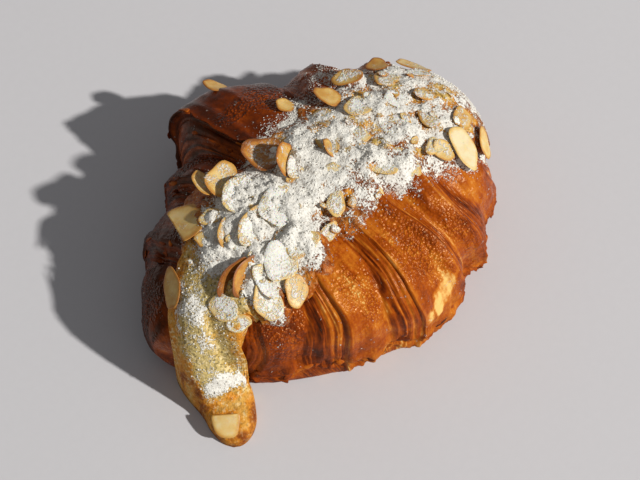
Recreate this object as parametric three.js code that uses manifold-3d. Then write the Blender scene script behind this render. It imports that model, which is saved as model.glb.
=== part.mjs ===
// Almond croissant: a rolled, laminated pastry with almond cream along its ridge and flaked almonds on top.
// Millimetres, +Z up. The croissant lies along X with its underside on Z = 0 and its middle over the origin.
// The near side is -Y, the far side is +Y, and the cream runs off the -X end in a tongue.

import * as THREE from "three";
import { mergeVertices } from "three/addons/utils/BufferGeometryUtils.js";
import Module from "manifold-3d";

const wasm = await Module();
wasm.setup();

// Driving dimensions of the pastry
const tongueEndReach = 85;
const bluntEndReach = 80;
const tongueEndBend = 11; // sideways sweep of the roll's end under the tongue
const farHalfWidth = 66;
const nearHalfWidth = 60;
const ridgeHeight = 54;
const endHeight = 38;
const bellyHeight = 19; // level of the widest line
// Below 2 a quarter of the plan is a rounded rhombus, at 2 an ellipse.
const planPower = { farTongueEnd: 1.56, farBluntEnd: 1.72, nearTongueEnd: 1.5, nearBluntEnd: 1.75 };
const endTaperPower = 3;
const endClosingPower = 6;
const endClosingRoot = 0.4;
const domeWidthPower = 0.9;
const domeHeightPower = 0.85;
const undercutWidthPower = 0.45;
const undercutHeightPower = 0.7;
const undercutFlatness = 1.25; // above 1 the underside is cut flat by the tray

// Edges of the rolled dough sheet. Each crosses the near and far side at its own x, faces one end of the roll,
// and drops to the wrap below through a band of open layers.
const wrapEdges = [
  { near: -5, far: -8, faces: -1, nearBand: 11, farBand: 8, drop: 4.4 },
  { near: -31, far: -29, faces: -1, nearBand: 12, farBand: 7, drop: 4.2 },
  { near: -57, far: -55, faces: -1, nearBand: 7, farBand: 6, drop: 3.4 },
  { near: 10, far: 18, faces: 1, nearBand: 6, farBand: 6, drop: 3.4 },
  { near: 27, far: 41, faces: 1, nearBand: 10, farBand: 7, drop: 3.8 },
  { near: 52, far: 60, faces: 1, nearBand: 7, farBand: 6, drop: 3.2 },
];
const layersInBand = 2;
const lipRaise = 1.2;
const lipReach = 5;
const edgeFan = 5; // how far an edge spreads towards its end on the way down
const edgeWobble = 1.1;
const riseLength = 10;
const riseShare = 0.85;
const farSwell = 9; // the middle wrap bulges on the far side
const unevenness = 0.8;

// Driving dimensions of the almond cream
const tongueTip = new THREE.Vector2(-88, -34);
const tonguePull = new THREE.Vector2(-70, -19);
const tongueBend = new THREE.Vector2(-79, -4);
const shoulder = new THREE.Vector2(-58, -1);
const stripeEnd = new THREE.Vector2(77, 1);
const tongueShareOfPath = 0.28;
const tipHalfWidth = 8.5;
const shoulderHalfWidth = 20;
const pileHalfWidth = 33;
const waistHalfWidth = 26;
const stripeHalfWidth = 30;
const pileShift = 6; // towards the far side, as is the waist's
const waistShift = 4.5;
const tonguePinch = 0.26; // how much the tongue is drawn in above its knee, on the near side
const shoulderRaise = 4.5; // the far side of the tongue stands higher where it meets the stripe
const tipHeight = 9;
const tongueDrop = 37;
const creamThickness = 4;
const creamDepth = 6; // how far the cream's blank reaches into the pastry before it is cut to it
const tipCap = 0.05;
const endCap = 0.1;
const gap = 0.3; // between the cream and the pastry

// Flaked almonds
const flakeThickness = 1.3;
const flakeSides = 8;
const flakeLift = -0.2;
const standShare = 0.3; // of a standing flake's rise, the part by which its middle is lifted
const strewnCount = 20;
const strewnLength = { least: 9, most: 14 };
const strewnFrom = -18;
const strewnTo = 66;
const strewnHalfWidth = 21;

const pastryAround = 32;
const pastryAlong = 84;
const creamAround = 20;
const creamAlong = 42;

const degree = Math.PI / 180;
const mix = (a, b, share) => a + (b - a) * share;
const smooth = (low, high, value) => THREE.MathUtils.smoothstep(value, low, high);
const bell = (value, middle, width) => Math.exp(-(((value - middle) / width) ** 2));
const draw = (index, channel) => {
  const wave = Math.sin(index * 12.9898 + channel * 78.233) * 43758.5453;
  return wave - Math.floor(wave);
};

// Pastry

const reachOf = (s) => (s < 0 ? tongueEndReach : bluntEndReach);
const sweepAt = (s) => (s < 0 ? tongueEndBend * Math.abs(s) ** 3 : 0);

// Half width of one side, ridge height and end closing of the section at s, from -1 to 1 along the roll.
function sectionAt(s, isFar) {
  const reach = Math.min(1, Math.abs(s));
  const farPower = s < 0 ? planPower.farTongueEnd : planPower.farBluntEnd;
  const nearPower = s < 0 ? planPower.nearTongueEnd : planPower.nearBluntEnd;
  const power = isFar ? farPower : nearPower;
  const side = (isFar ? farHalfWidth : nearHalfWidth) * (1 - reach ** power) ** (1 / power);
  const closing = (1 - reach ** endClosingPower) ** endClosingRoot;
  const top = mix(ridgeHeight, endHeight, reach ** endTaperPower);
  return { side, closing, top };
}

// A point of the smooth dome and the direction its relief stands out in. The angle is 0 on the ridge, positive
// on the far side, and a half turn under the middle.
function domePoint(s, angle) {
  const { side, closing, top } = sectionAt(s, angle > 0);
  const across = Math.sin(angle);
  const upward = Math.cos(angle);
  const isDome = upward > 0;
  const spread = Math.abs(across) ** (isDome ? domeWidthPower : undercutWidthPower);
  const dome = (top - bellyHeight) * closing * Math.max(0, upward) ** domeHeightPower;
  const undercut = closing * undercutFlatness * Math.max(0, -upward) ** undercutHeightPower;
  const y = sweepAt(s) + side * Math.sign(across) * spread;
  const z = bellyHeight + dome - bellyHeight * Math.min(1, undercut);
  const tall = isDome ? Math.max(1, (top - bellyHeight) * closing) : bellyHeight;
  const out = new THREE.Vector2(across / Math.max(1, side), upward / tall).normalize();
  return { x: reachOf(s) * s, y, z, out };
}

function edgePlace(edge, index, angle) {
  const middle = mix(edge.near, edge.far, smooth(-25 * degree, 25 * degree, angle));
  const turned = Math.abs(angle) / (Math.PI / 2);
  const wobble = edgeWobble * (Math.sin(3 * angle + 1.7 * index) + 0.6 * Math.sin(7 * angle + 2.3 * index));
  return middle + edge.faces * edgeFan * turned ** 1.5 + wobble;
}

// A staircase from 0 to 1 with flat treads and steep risers, one for each open layer.
function layerSteps(share) {
  const stair = THREE.MathUtils.clamp(share, 0, 1) * layersInBand;
  const tread = Math.min(layersInBand - 1, Math.floor(stair));
  return (tread + smooth(0.2, 1, stair - tread)) / layersInBand;
}

// Height of the relief that one edge of the dough sheet makes: a raised lip, layered steps down, then the
// next wrap.
function edgeRelief(edge, index, x, angle) {
  const turned = Math.abs(angle) / degree;
  const fullBand = angle > 0 ? edge.farBand : edge.nearBand;
  const band = fullBand * mix(0.45, 1, smooth(10, 80, turned));
  const drop = edge.drop * mix(0.6, 1, smooth(15, 50, turned));
  const beyond = edge.faces * (x - edgePlace(edge, index, angle));
  if (beyond < 0) return lipRaise * Math.exp(-((beyond / lipReach) ** 2));
  const steps = layerSteps(beyond / band);
  const rise = smooth(band, band + riseLength, beyond);
  return lipRaise - (drop + lipRaise) * steps + drop * riseShare * rise;
}

function crustRelief(s, angle) {
  const x = reachOf(s) * s;
  const turned = Math.abs(angle) / degree;
  const edges = wrapEdges.reduce((sum, edge, index) => sum + edgeRelief(edge, index, x, angle), 0);
  const lip = wrapEdges[0];
  const pastLip = layerSteps((lip.faces * (x - edgePlace(lip, 0, angle))) / lip.farBand);
  const swell = farSwell * bell(angle / degree, 72, 24) * (1 - pastLip) * (1 - smooth(4, 26, x));
  const waves = Math.sin(0.11 * x + 2 * angle) + 0.7 * Math.sin(0.23 * x - 3 * angle + 1.3);
  const onSides = 1 - smooth(104, 134, turned);
  const offEnds = 1 - smooth(0.9, 1, Math.abs(s));
  return (edges + swell + unevenness * waves) * onSides * offEnds;
}

function crustPoint(s, angle, grown = 0) {
  const { x, y, z, out } = domePoint(s, angle);
  const relief = crustRelief(s, angle) + grown;
  return new THREE.Vector3(x, y + out.x * relief, Math.max(-grown, z + out.y * relief));
}

// A sphere of quads whose points are moved to pointAt(share around, share from pole to pole).
function shapedSphere(around, along, pointAt) {
  const shape = new THREE.SphereGeometry(1, around, along);
  const { position, uv } = shape.attributes;
  for (let i = 0; i < position.count; i++) {
    position.setXYZ(i, ...pointAt(uv.getX(i), 1 - uv.getY(i)).toArray());
  }
  shape.deleteAttribute("normal");
  shape.deleteAttribute("uv");
  return mergeVertices(shape, 1e-3);
}

// Moves a ring's place on the ridge to its place at an angle, so that rings run along the edges of the sheet.
function alongEdges(x, angle) {
  const fade = 1 - smooth(100 * degree, 150 * degree, Math.abs(angle));
  const bends = wrapEdges.map((edge, index) => {
    const rest = edgePlace(edge, index, 0);
    return { rest, shift: fade * (edgePlace(edge, index, angle) - rest) };
  });
  const ends = [
    { rest: -tongueEndReach, shift: 0 },
    { rest: bluntEndReach, shift: 0 },
  ];
  const stops = [...ends, ...bends].sort((a, b) => a.rest - b.rest);
  const next = Math.max(1, stops.findIndex((stop) => stop.rest >= x));
  const [low, high] = [stops[next - 1], stops[next]];
  return x + mix(low.shift, high.shift, (x - low.rest) / (high.rest - low.rest));
}

// Rings of the pastry stand closer at its ends, and its points closer on the top than underneath.
function pastryShape(grown = 0) {
  return shapedSphere(pastryAround, pastryAlong, (around, along) => {
    const run = 2 * along - 1;
    const isPole = Math.abs(run) > 1 - 1e-6;
    if (isPole) return new THREE.Vector3(run * (reachOf(run) + grown), sweepAt(run), bellyHeight);
    const ring = mix(run, Math.sin((run * Math.PI) / 2), 0.3);
    const turn = 2 * (around % 1) - 1;
    const angle = Math.PI * mix(turn, turn ** 5, 0.28);
    const x = alongEdges(reachOf(ring) * ring, angle);
    return crustPoint(x / reachOf(x), angle, grown);
  });
}

// Almond cream

// Height of the smooth dome over a place in plan, and 0 outside it.
function pastryTop(x, y) {
  const s = x / reachOf(x);
  if (Math.abs(s) >= 1) return 0;
  const offRidge = y - sweepAt(s);
  const { side, closing, top } = sectionAt(s, offRidge > 0);
  if (Math.abs(offRidge) >= side) return 0;
  const across = (Math.abs(offRidge) / side) ** (1 / domeWidthPower);
  const upward = Math.sqrt(1 - across * across);
  return bellyHeight + (top - bellyHeight) * closing * upward ** domeHeightPower;
}

function sideShift(along) {
  const isWaist = smooth(0.4, 0.5, along) * (1 - smooth(0.68, 0.8, along));
  return new THREE.Vector2(0, pileShift * bell(along, 0.39, 0.08) + waistShift * isWaist);
}

// Middle line of the cream in plan from the tongue's tip, at 0, to the stripe's far end, at 1.
function creamLine(along) {
  if (along < tongueShareOfPath) {
    const curve = new THREE.CubicBezierCurve(tongueTip, tonguePull, tongueBend, shoulder);
    const t = along / tongueShareOfPath;
    return { place: curve.getPoint(t).add(sideShift(along)), heading: curve.getTangent(t) };
  }
  const share = (along - tongueShareOfPath) / (1 - tongueShareOfPath);
  const place = shoulder.clone().lerp(stripeEnd, share).add(sideShift(along));
  return { place, heading: stripeEnd.clone().sub(shoulder).normalize() };
}

function roundedCap(share) {
  const inside = 1 - THREE.MathUtils.clamp(share, 0, 1);
  return Math.sqrt(1 - inside * inside);
}

function creamHalfWidth(along) {
  const onTongue = Math.min(1, along / tongueShareOfPath);
  const tongue = mix(tipHalfWidth, shoulderHalfWidth, onTongue ** 1.4);
  const pile = mix(tongue, pileHalfWidth, smooth(0.27, 0.36, along));
  const waist = mix(pile, waistHalfWidth, smooth(0.41, 0.5, along));
  const stripe = mix(waist, stripeHalfWidth, smooth(0.7, 0.83, along));
  const ripple = 0.07 * Math.sin(47 * along) + 0.05 * Math.sin(83 * along + 1.3);
  const wave = 1 + ripple * smooth(0.2, 0.35, along);
  return stripe * wave * roundedCap(along / tipCap) * roundedCap((1 - along) / endCap);
}

// A point of the cream's upper or lower side. Across runs from -1, on the far edge, to 1, on the near edge.
function creamPoint(along, across, isUpper) {
  const { place, heading } = creamLine(along);
  const onTongue = along / tongueShareOfPath;
  const drawnIn = across > 0 ? tonguePinch * bell(onTongue, 0.445, 0.075) : 0;
  const halfWidth = creamHalfWidth(along) * (1 - drawnIn);
  const x = place.x + heading.y * across * halfWidth;
  const y = place.y - heading.x * across * halfWidth;
  const cap = roundedCap(along / tipCap) * roundedCap((1 - along) / endCap);
  const bed = pastryTop(x, y);
  const edge = Math.max(0, 1 - Math.abs(across) ** 3);
  const drape = bed > 0 ? bed + creamThickness * Math.sqrt(edge) * cap : 0;
  const raise = shoulderRaise * bell(onTongue, 0.9, 0.2) * smooth(0.1, 0.75, -across);
  const crown = tipHeight + tongueDrop * smooth(0.2, 0.76, onTongue) + raise;
  const hump = crown * cap * Math.max(0, 1 - Math.abs(across) ** 3) ** (1 / 3);
  const lower = Math.max(0, bed - creamDepth * cap) * smooth(0.7, 1, onTongue);
  return new THREE.Vector3(x, y, isUpper ? Math.max(drape, hump) : lower);
}

function creamShape() {
  return shapedSphere(creamAround, creamAlong, (around, along) => {
    const turn = around % 1;
    const isUpper = turn < 0.5;
    const across = isUpper ? 1 - 4 * turn : 4 * turn - 3;
    return creamPoint(along, across, isUpper);
  });
}

// Flaked almonds

// One flake along its own X: an egg-shaped slice, cupped, with its leading end snapped off where it is broken.
function flakeShape({ length, width, curl, broken = 1 }) {
  return shapedSphere(flakeSides, 3, (around, along) => {
    const turn = 2 * Math.PI * around;
    const isCentre = along < 0.2 || along > 0.8;
    const reach = isCentre ? 0 : 1;
    const x = (reach * length * Math.min(broken, Math.cos(turn))) / 2;
    const y = (reach * width * Math.sin(turn) * (1 - 0.22 * Math.cos(turn))) / 2;
    const bend = curl * (((2 * x) / length) ** 2 + 0.5 * ((2 * y) / width) ** 2);
    return new THREE.Vector3(x, y, bend + flakeThickness * (along < 0.5 ? 0.5 : -0.5));
  });
}

// Sets a flake on a surface. Its long axis follows the heading in plan and rises by the lean, then the flake
// rolls about that axis. A standing flake is lifted so that only its foot stays in the surface.
function placeFlake(flake, point, normal) {
  const lean = flake.lean * degree;
  const roll = (flake.roll ?? 0) * degree;
  const level = new THREE.Vector3(Math.cos(flake.heading * degree), Math.sin(flake.heading * degree), 0);
  const forward = level.addScaledVector(normal, -level.dot(normal)).normalize();
  const sideways = new THREE.Vector3().crossVectors(normal, forward);
  const frame = new THREE.Matrix4().makeBasis(forward, sideways, normal);
  frame.multiply(new THREE.Matrix4().makeRotationY(-lean));
  frame.multiply(new THREE.Matrix4().makeRotationX(roll));
  const stand = flake.length * Math.abs(Math.sin(lean)) + flake.width * Math.abs(Math.sin(roll));
  const lift = (flake.lift ?? flakeLift) + standShare * stand;
  frame.setPosition(point.clone().addScaledVector(normal, lift));
  return flakeShape(flake).applyMatrix4(frame);
}

function normalOf(pointAt, a, b, step) {
  const alongA = pointAt(a + step, b).sub(pointAt(a - step, b));
  const alongB = pointAt(a, b + step).sub(pointAt(a, b - step));
  const normal = alongA.cross(alongB).normalize();
  return normal.z < 0 ? normal.negate() : normal;
}

// Share along and across the cream of a place in plan: the nearest on the tongue, or straight along
// the stripe.
function creamShares(x, y) {
  const wanted = new THREE.Vector2(x, y);
  const tries = Array.from({ length: 80 }, (_, index) => ((index + 0.5) / 80) * tongueShareOfPath);
  const far = (along) => creamLine(along).place.distanceTo(wanted);
  const nearest = tries.reduce((best, next) => (far(next) < far(best) ? next : best));
  const straight = mix(tongueShareOfPath, 1, (x - shoulder.x) / (stripeEnd.x - shoulder.x));
  const along = THREE.MathUtils.clamp(x > shoulder.x ? straight : nearest, 0.035, 0.965);
  const { place, heading } = creamLine(along);
  const across = wanted.sub(place).dot(new THREE.Vector2(heading.y, -heading.x)) / creamHalfWidth(along);
  return { along, across: THREE.MathUtils.clamp(across, -0.95, 0.95) };
}

function flakeOnCream(flake) {
  const pointAt = (along, across) => creamPoint(along, across, true);
  const { along, across } = creamShares(flake.x, flake.y);
  return placeFlake(flake, pointAt(along, across), normalOf(pointAt, along, across, 0.03));
}

function flakeOnCrust(flake) {
  const s = flake.x / reachOf(flake.x);
  const offRidge = flake.y - sweepAt(s);
  const { side } = sectionAt(s, offRidge > 0);
  const angle = Math.sign(offRidge) * Math.asin((Math.abs(offRidge) / side) ** (1 / domeWidthPower));
  const pointAt = (a, b) => crustPoint(a, b);
  return placeFlake(flake, pointAt(s, angle), normalOf(pointAt, s, angle, 0.04));
}

// Smaller flakes strewn over the far half of the stripe: a golden-ratio step across it keeps them apart.
const strewnFlakes = Array.from({ length: strewnCount }, (_, index) => {
  const length = mix(strewnLength.least, strewnLength.most, draw(index, 2));
  return {
    x: mix(strewnFrom, strewnTo, (index + 0.2 + 0.6 * draw(index, 1)) / strewnCount),
    y: strewnHalfWidth * (2 * ((index * 0.618034) % 1) - 1),
    length,
    width: length * mix(0.6, 0.8, draw(index, 3)),
    curl: mix(-0.4, 0.8, draw(index, 4)),
    heading: 360 * draw(index, 5),
    lean: mix(1, 14, draw(index, 6)),
    lift: mix(-1.3, -0.4, draw(index, 7)),
  };
});

// The flakes that stand out, placed in plan one by one from the tongue to the blunt end.
const placedFlakes = [
  { x: -84.5, y: -27, length: 14, width: 11, curl: -0.3, heading: 47, lean: 1, lift: 0.1, broken: 0.3 },
  { x: -71.5, y: 13, length: 17, width: 9, curl: 0.6, heading: -139, lean: 0, roll: -8, lift: -0.8 },
  { x: -64, y: -8, length: 12, width: 9.5, curl: 0.3, heading: -87, lean: 4, lift: 0.4 },
  { x: -63.5, y: -14.5, length: 10, width: 8, curl: 0.3, heading: -40, lean: 6, lift: 0.3 },
  { x: -55, y: -3, length: 18, width: 8, curl: 1, heading: 6, lean: 8, roll: 56, lift: -1.4 },
  { x: -52, y: -6.5, length: 17, width: 8.5, curl: 0.9, heading: 18, lean: 6, roll: 48, lift: -1 },
  { x: -52, y: -18.5, length: 16, width: 11, curl: 0.8, heading: -120, lean: 0, roll: -12, lift: 0 },
  { x: -48, y: -14, length: 15, width: 9, curl: 1.2, heading: -110, lean: 0, roll: -22, lift: 0 },
  { x: -47, y: -8.5, length: 14, width: 7.5, curl: 1, heading: -125, lean: 0, roll: -30 },
  { x: -50, y: 27.5, length: 18, width: 20, curl: 0.3, heading: 158, lean: 18, lift: -0.6, broken: 0.28 },
  { x: -50.5, y: 15.5, length: 8, width: 7, curl: 0, heading: 120, lean: 12, lift: 0 },
  { x: -44.5, y: 10, length: 14, width: 7, curl: 0.4, heading: 40, lean: 0, roll: 44, lift: -0.4 },
  { x: -42.5, y: 19.5, length: 10, width: 7, curl: 0.4, heading: 150, lean: 8, lift: 0.4 },
  { x: -44, y: 3.5, length: 11, width: 8, curl: 0.8, heading: -102, lean: 0, roll: -15 },
  { x: -42.5, y: -23.5, length: 13, width: 9, curl: 0.4, heading: -125, lean: 2, roll: -8, lift: 0.2 },
  { x: -39.5, y: -12.5, length: 16, width: 13, curl: 0.8, heading: 60, lean: 0, roll: 10, lift: 0.4 },
  { x: -36, y: 4, length: 17, width: 11, curl: 1, heading: 19, lean: 0, roll: 30, lift: -0.3 },
  { x: -33.5, y: 31.5, length: 15, width: 10, curl: 0.9, heading: 65, lean: 0, roll: 56, lift: 0.4 },
  { x: -28.5, y: 27, length: 17, width: 13, curl: 1.4, heading: 30, lean: 0, roll: 38, lift: -0.8 },
  { x: -29.5, y: 17.5, length: 17, width: 13, curl: 1.4, heading: 25, lean: 0, roll: 24, lift: -0.2 },
  { x: -28, y: 9.5, length: 9, width: 7, curl: 0.5, heading: 40, lean: 0, roll: 15, lift: 0.2 },
  { x: -24, y: 3.5, length: 18, width: 13.5, curl: 1.2, heading: 35, lean: 0, roll: 11, lift: 0.2 },
  { x: -28.5, y: -13, length: 15, width: 11.5, curl: 0.6, heading: -30, lean: 2, lift: 0.2 },
  { x: -10.5, y: 24.5, length: 16, width: 16, curl: 2.4, heading: 125, lean: 26, lift: -1.2 },
  { x: -7.5, y: 15, length: 14, width: 11, curl: 0.5, heading: 33, lean: 0, roll: 66, lift: 0.2 },
  { x: -5, y: 11, length: 15, width: 8, curl: 0.6, heading: 35, lean: 0, roll: 20, lift: -0.2 },
  { x: 8, y: 7, length: 9, width: 6, curl: 0.4, heading: 60, lean: 0, roll: 45 },
  { x: 17.5, y: -11.5, length: 15, width: 10, curl: 0.5, heading: -68, lean: 4, lift: 0 },
  { x: 24.5, y: -19.5, length: 10, width: 8, curl: 0.4, heading: -60, lean: 3, lift: 0 },
  { x: 26.5, y: 24.5, length: 12, width: 10, curl: 0.4, heading: 120, lean: 30, lift: -0.2 },
  { x: 40.5, y: 27, length: 13, width: 8, curl: 0.5, heading: 133, lean: 8, roll: -22, lift: -0.4 },
  { x: 56, y: 25.5, length: 10, width: 9, curl: 0.5, heading: 43, lean: 20, lift: -0.6 },
  { x: 69.5, y: 18, length: 15, width: 9, curl: 0.5, heading: -46, lean: 0, roll: 16, lift: -0.4 },
  { x: 48, y: -26.5, length: 19, width: 11.5, curl: 0.5, heading: -97, lean: 2, lift: 0.4 },
  { x: 61.5, y: -27, length: 14, width: 9, curl: 0.4, heading: -114, lean: 6, lift: -0.8 },
  { x: 40.5, y: -23, length: 10, width: 8, curl: 0.4, heading: -80, lean: 2, lift: -0.2 },
];
const crustFlakes = [
  { x: 14, y: 35.5, length: 8, width: 7, curl: 0.2, heading: 120, lean: 20 },
  { x: 6.5, y: 61, length: 11, width: 9, curl: 0.5, heading: 100, lean: 36, lift: -1 },
];

// Solids

function solidOf(geometry) {
  return new wasm.Manifold(
    new wasm.Mesh({
      numProp: 3,
      vertProperties: geometry.attributes.position.array,
      triVerts: new Uint32Array(geometry.index.array),
    }),
  );
}

function geometryOf(solid) {
  const { vertProperties, triVerts } = solid.getMesh();
  const geometry = new THREE.BufferGeometry();
  geometry.setAttribute("position", new THREE.BufferAttribute(vertProperties, 3));
  geometry.setIndex(new THREE.BufferAttribute(triVerts, 1));
  geometry.computeVertexNormals();
  return geometry;
}

const fuse = (base, shapes) => shapes.reduce((sum, shape) => sum.add(solidOf(shape)), base);
const largest = (solid) => solid.decompose().reduce((a, b) => (a.volume() > b.volume() ? a : b));

const onCrust = crustFlakes.map(flakeOnCrust);
const onCream = [...placedFlakes, ...strewnFlakes].map(flakeOnCream);
const pastrySolid = largest(fuse(solidOf(pastryShape()), onCrust));
const creamBlank = fuse(solidOf(creamShape()), onCream);
const creamSolid = largest(creamBlank.subtract(fuse(solidOf(pastryShape(gap)), onCrust)));

function subPart(name, solid, color, roughness) {
  const material = new THREE.MeshStandardMaterial({ color, roughness, metalness: 0 });
  const mesh = new THREE.Mesh(geometryOf(solid), material);
  mesh.name = name;
  return mesh;
}

const croissant = new THREE.Group();
croissant.name = "almond_croissant";
croissant.add(subPart("pastry", pastrySolid, 0xa8591a, 0.35));
croissant.add(subPart("almond_cream", creamSolid, 0xe8d6a4, 0.7));

export default croissant;
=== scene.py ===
import math
from types import SimpleNamespace

import bpy
import numpy as np
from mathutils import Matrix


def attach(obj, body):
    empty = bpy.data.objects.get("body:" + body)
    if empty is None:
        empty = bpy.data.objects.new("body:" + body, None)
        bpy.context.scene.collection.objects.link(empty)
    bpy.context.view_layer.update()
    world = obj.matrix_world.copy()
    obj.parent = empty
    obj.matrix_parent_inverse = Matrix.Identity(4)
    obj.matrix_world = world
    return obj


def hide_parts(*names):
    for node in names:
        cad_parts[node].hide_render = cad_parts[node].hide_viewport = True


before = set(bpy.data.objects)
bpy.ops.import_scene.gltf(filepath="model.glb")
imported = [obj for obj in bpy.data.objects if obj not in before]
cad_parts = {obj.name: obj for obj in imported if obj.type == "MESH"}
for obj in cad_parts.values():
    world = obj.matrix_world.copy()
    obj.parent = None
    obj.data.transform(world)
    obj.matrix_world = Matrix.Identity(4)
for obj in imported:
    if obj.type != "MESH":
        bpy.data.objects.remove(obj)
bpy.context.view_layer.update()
mm = 0.001  # shapes are worked out in millimetres and stored in metres
degree = math.pi / 180
goldenStep = 0.618034  # a step of this share across a band keeps strewn things apart


# number work shared by the pieces

def mix(a, b, share):  # straight blend from a to b
    return a + (b - a) * share


def smooth(low, high, value):  # 0 up to low, 1 from high on, an s-curve between
    t = np.clip((value - low) / (high - low), 0, 1)
    return t * t * (3 - 2 * t)


def window(value, start, full, fade, gone):  # s-curve up from start to full, and down from fade to gone
    return smooth(start, full, value) * (1 - smooth(fade, gone, value))


def bell(value, middle, width):  # 1 at the middle, falling away as a bell curve
    return np.exp(-(((value - middle) / width) ** 2))


def unit(vectors):  # vectors divided by their own length
    return vectors / np.maximum(np.linalg.norm(vectors, axis=-1, keepdims=True), 1e-9)


def facingUp(normals):  # normals that point down are turned over
    return np.where(normals[..., 2:] < 0, -normals, normals)


def draw(index, channel):  # fixed pseudo-random number from 0 to 1: the broken-off part of a large sine
    wave = np.sin(np.asarray(index, float) * 12.9898 + channel * 78.233) * 43758.5453
    return wave - np.floor(wave)


def cellHash(ix, iy, iz, seed):  # whole-number scramble of a lattice corner to -1..1
    h = ix * 374761393 + iy * 668265263 + iz * 1274126177 + seed * 974711
    h = (h ^ (h >> 13)) * 1103515245 & 0x7FFFFFFF
    h = (h ^ (h >> 15)) * 69069 & 0x7FFFFFFF
    return ((h >> 8) & 0xFFFF) / 32767.5 - 1


def noiseAt(a, b, c, seed):  # corner values of the unit cell, blended smoothly across it
    a, b, c = np.broadcast_arrays(a, b, c)
    low = [np.floor(v).astype(np.int64) for v in (a, b, c)]
    fx, fy, fz = [(v - k) ** 2 * (3 - 2 * (v - k)) for v, k in zip((a, b, c), low)]
    total = 0
    for dx, wx in ((0, 1 - fx), (1, fx)):
        for dy, wy in ((0, 1 - fy), (1, fy)):
            for dz, wz in ((0, 1 - fz), (1, fz)):
                total = total + wx * wy * wz * cellHash(low[0] + dx, low[1] + dy, low[2] + dz, seed)
    return total


def layeredNoise(a, b, c, seed, octaves=3):  # each octave at twice the pitch and half the height
    return sum(noiseAt(a * 2 ** k, b * 2 ** k, c * 2 ** k, seed + 31 * k) / 2 ** k for k in range(octaves))


def ringFaces(rings, around):  # quads between closed rings, and a fan to a point at each end
    ring = np.arange(rings * around).reshape(rings, around)
    onward = np.roll(ring, -1, axis=1)
    quads = np.stack([ring[:-1], ring[1:], onward[1:], onward[:-1]], -1).reshape(-1, 4)
    first, last = rings * around, rings * around + 1
    startFan = np.stack([np.full(around, first), ring[0], onward[0]], -1)
    endFan = np.stack([np.full(around, last), onward[-1], ring[-1]], -1)
    return quads.tolist() + startFan.tolist() + endFan.tolist()


def repeatedFaces(faces, count, stride):  # the same faces for each copy, with the point numbers moved on
    return [[v + k * stride for v in face] for k in range(count) for face in faces]


def makePiece(name, points, faces, material, slot, **values):  # a mesh in metres, with values on its points
    mesh = bpy.data.meshes.new(name)
    mesh.from_pydata((points * mm).tolist(), [], faces)
    mesh.polygons.foreach_set("use_smooth", np.ones(len(mesh.polygons), bool))
    for key, value in values.items():
        layer = mesh.attributes.new(key, "FLOAT", "POINT")
        layer.data.foreach_set("value", np.ascontiguousarray(value, np.float32).ravel())
    mesh.materials.append(material)
    mesh.update()
    piece = bpy.data.objects.new(name, mesh)
    bpy.context.scene.collection.objects.link(piece)
    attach(piece, "root")
    print(name, len(mesh.vertices), "points", len(mesh.polygons), "faces")
    return piece


class Paint:  # a material with short calls for its nodes, each giving back the socket of its result
    def __init__(self, name):
        self.material = bpy.data.materials.new(name)
        self.material.use_nodes = True
        self.nodes = self.material.node_tree.nodes

    def feed(self, socket, value):  # plain numbers and colours go on the socket, anything else is linked
        if isinstance(value, tuple):
            socket.default_value = (*value, 1)[:len(socket.default_value)]
        elif isinstance(value, (int, float)):
            socket.default_value = value
        else:
            self.material.node_tree.links.new(value, socket)

    def put(self, name, value):  # one input of the finish itself
        self.feed(self.nodes["Principled BSDF"].inputs[name], value)

    def place(self):  # object coordinates, in metres
        return self.nodes.new("ShaderNodeTexCoord").outputs["Object"]

    def value(self, name):  # a named value on the points
        node = self.nodes.new("ShaderNodeAttribute")
        node.attribute_name = name
        return node.outputs["Fac"]

    def noise(self, scale, detail=3, roughness=0.6, place=None):  # cloudy noise from 0 to 1
        node = self.nodes.new("ShaderNodeTexNoise")
        settings = {"Scale": scale, "Detail": detail, "Roughness": roughness}
        for name, value in {**settings, "Vector": self.place() if place is None else place}.items():
            self.feed(node.inputs[name], value)
        return node.outputs["Fac"]

    def math(self, operation, *values):  # one sum of numbers or sockets
        node = self.nodes.new("ShaderNodeMath")
        node.operation = operation
        for socket, value in zip(node.inputs, values):
            self.feed(socket, value)
        return node.outputs[0]

    def span(self, value, low, high, newLow=0.0, newHigh=1.0):  # s-curve from one range to another
        node = self.nodes.new("ShaderNodeMapRange")
        node.interpolation_type = "SMOOTHSTEP"
        limits = {"From Min": low, "From Max": high, "To Min": newLow, "To Max": newHigh}
        for name, number in {"Value": value, **limits}.items():
            self.feed(node.inputs[name], number)
        return node.outputs["Result"]

    def swing(self, noise, reach):  # noise spread to either side of zero
        return self.span(noise, 0.3, 0.7, -reach, reach)

    def ramp(self, value, stops):  # colours blended between stops
        node = self.nodes.new("ShaderNodeValToRGB")
        elements = node.color_ramp.elements
        while len(elements) < len(stops):
            elements.new(0.5)
        for element, (place, colour) in zip(elements, stops):
            element.position = place
            element.color = (*colour, 1)
        self.feed(node.inputs["Fac"], value)
        return node.outputs["Color"]

    def blend(self, share, a, b, mode="MIX"):  # two colours mixed by a share
        node = self.nodes.new("ShaderNodeMix")
        node.data_type = "RGBA"
        node.blend_type = mode
        for socket, value in zip([s for s in node.inputs if s.enabled], (share, a, b)):
            self.feed(socket, value)
        return [s for s in node.outputs if s.enabled][0]

    def bump(self, height, strength, distance, below=None):  # bump laid over the bump below it
        node = self.nodes.new("ShaderNodeBump")
        for name, value in {"Strength": strength, "Distance": distance, "Height": height}.items():
            self.feed(node.inputs[name], value)
        if below is not None:
            self.feed(node.inputs["Normal"], below)
        return node.outputs["Normal"]


sugar = {
    "colour": (0.81, 0.785, 0.71), "shade": (0.64, 0.61, 0.54),
    "grain": 1150, "clump": 240, "clumpShare": 0.45,  # scales per metre, and how much the clumps count
    "level": 0.68, "perAmount": 0.34,
}


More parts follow.
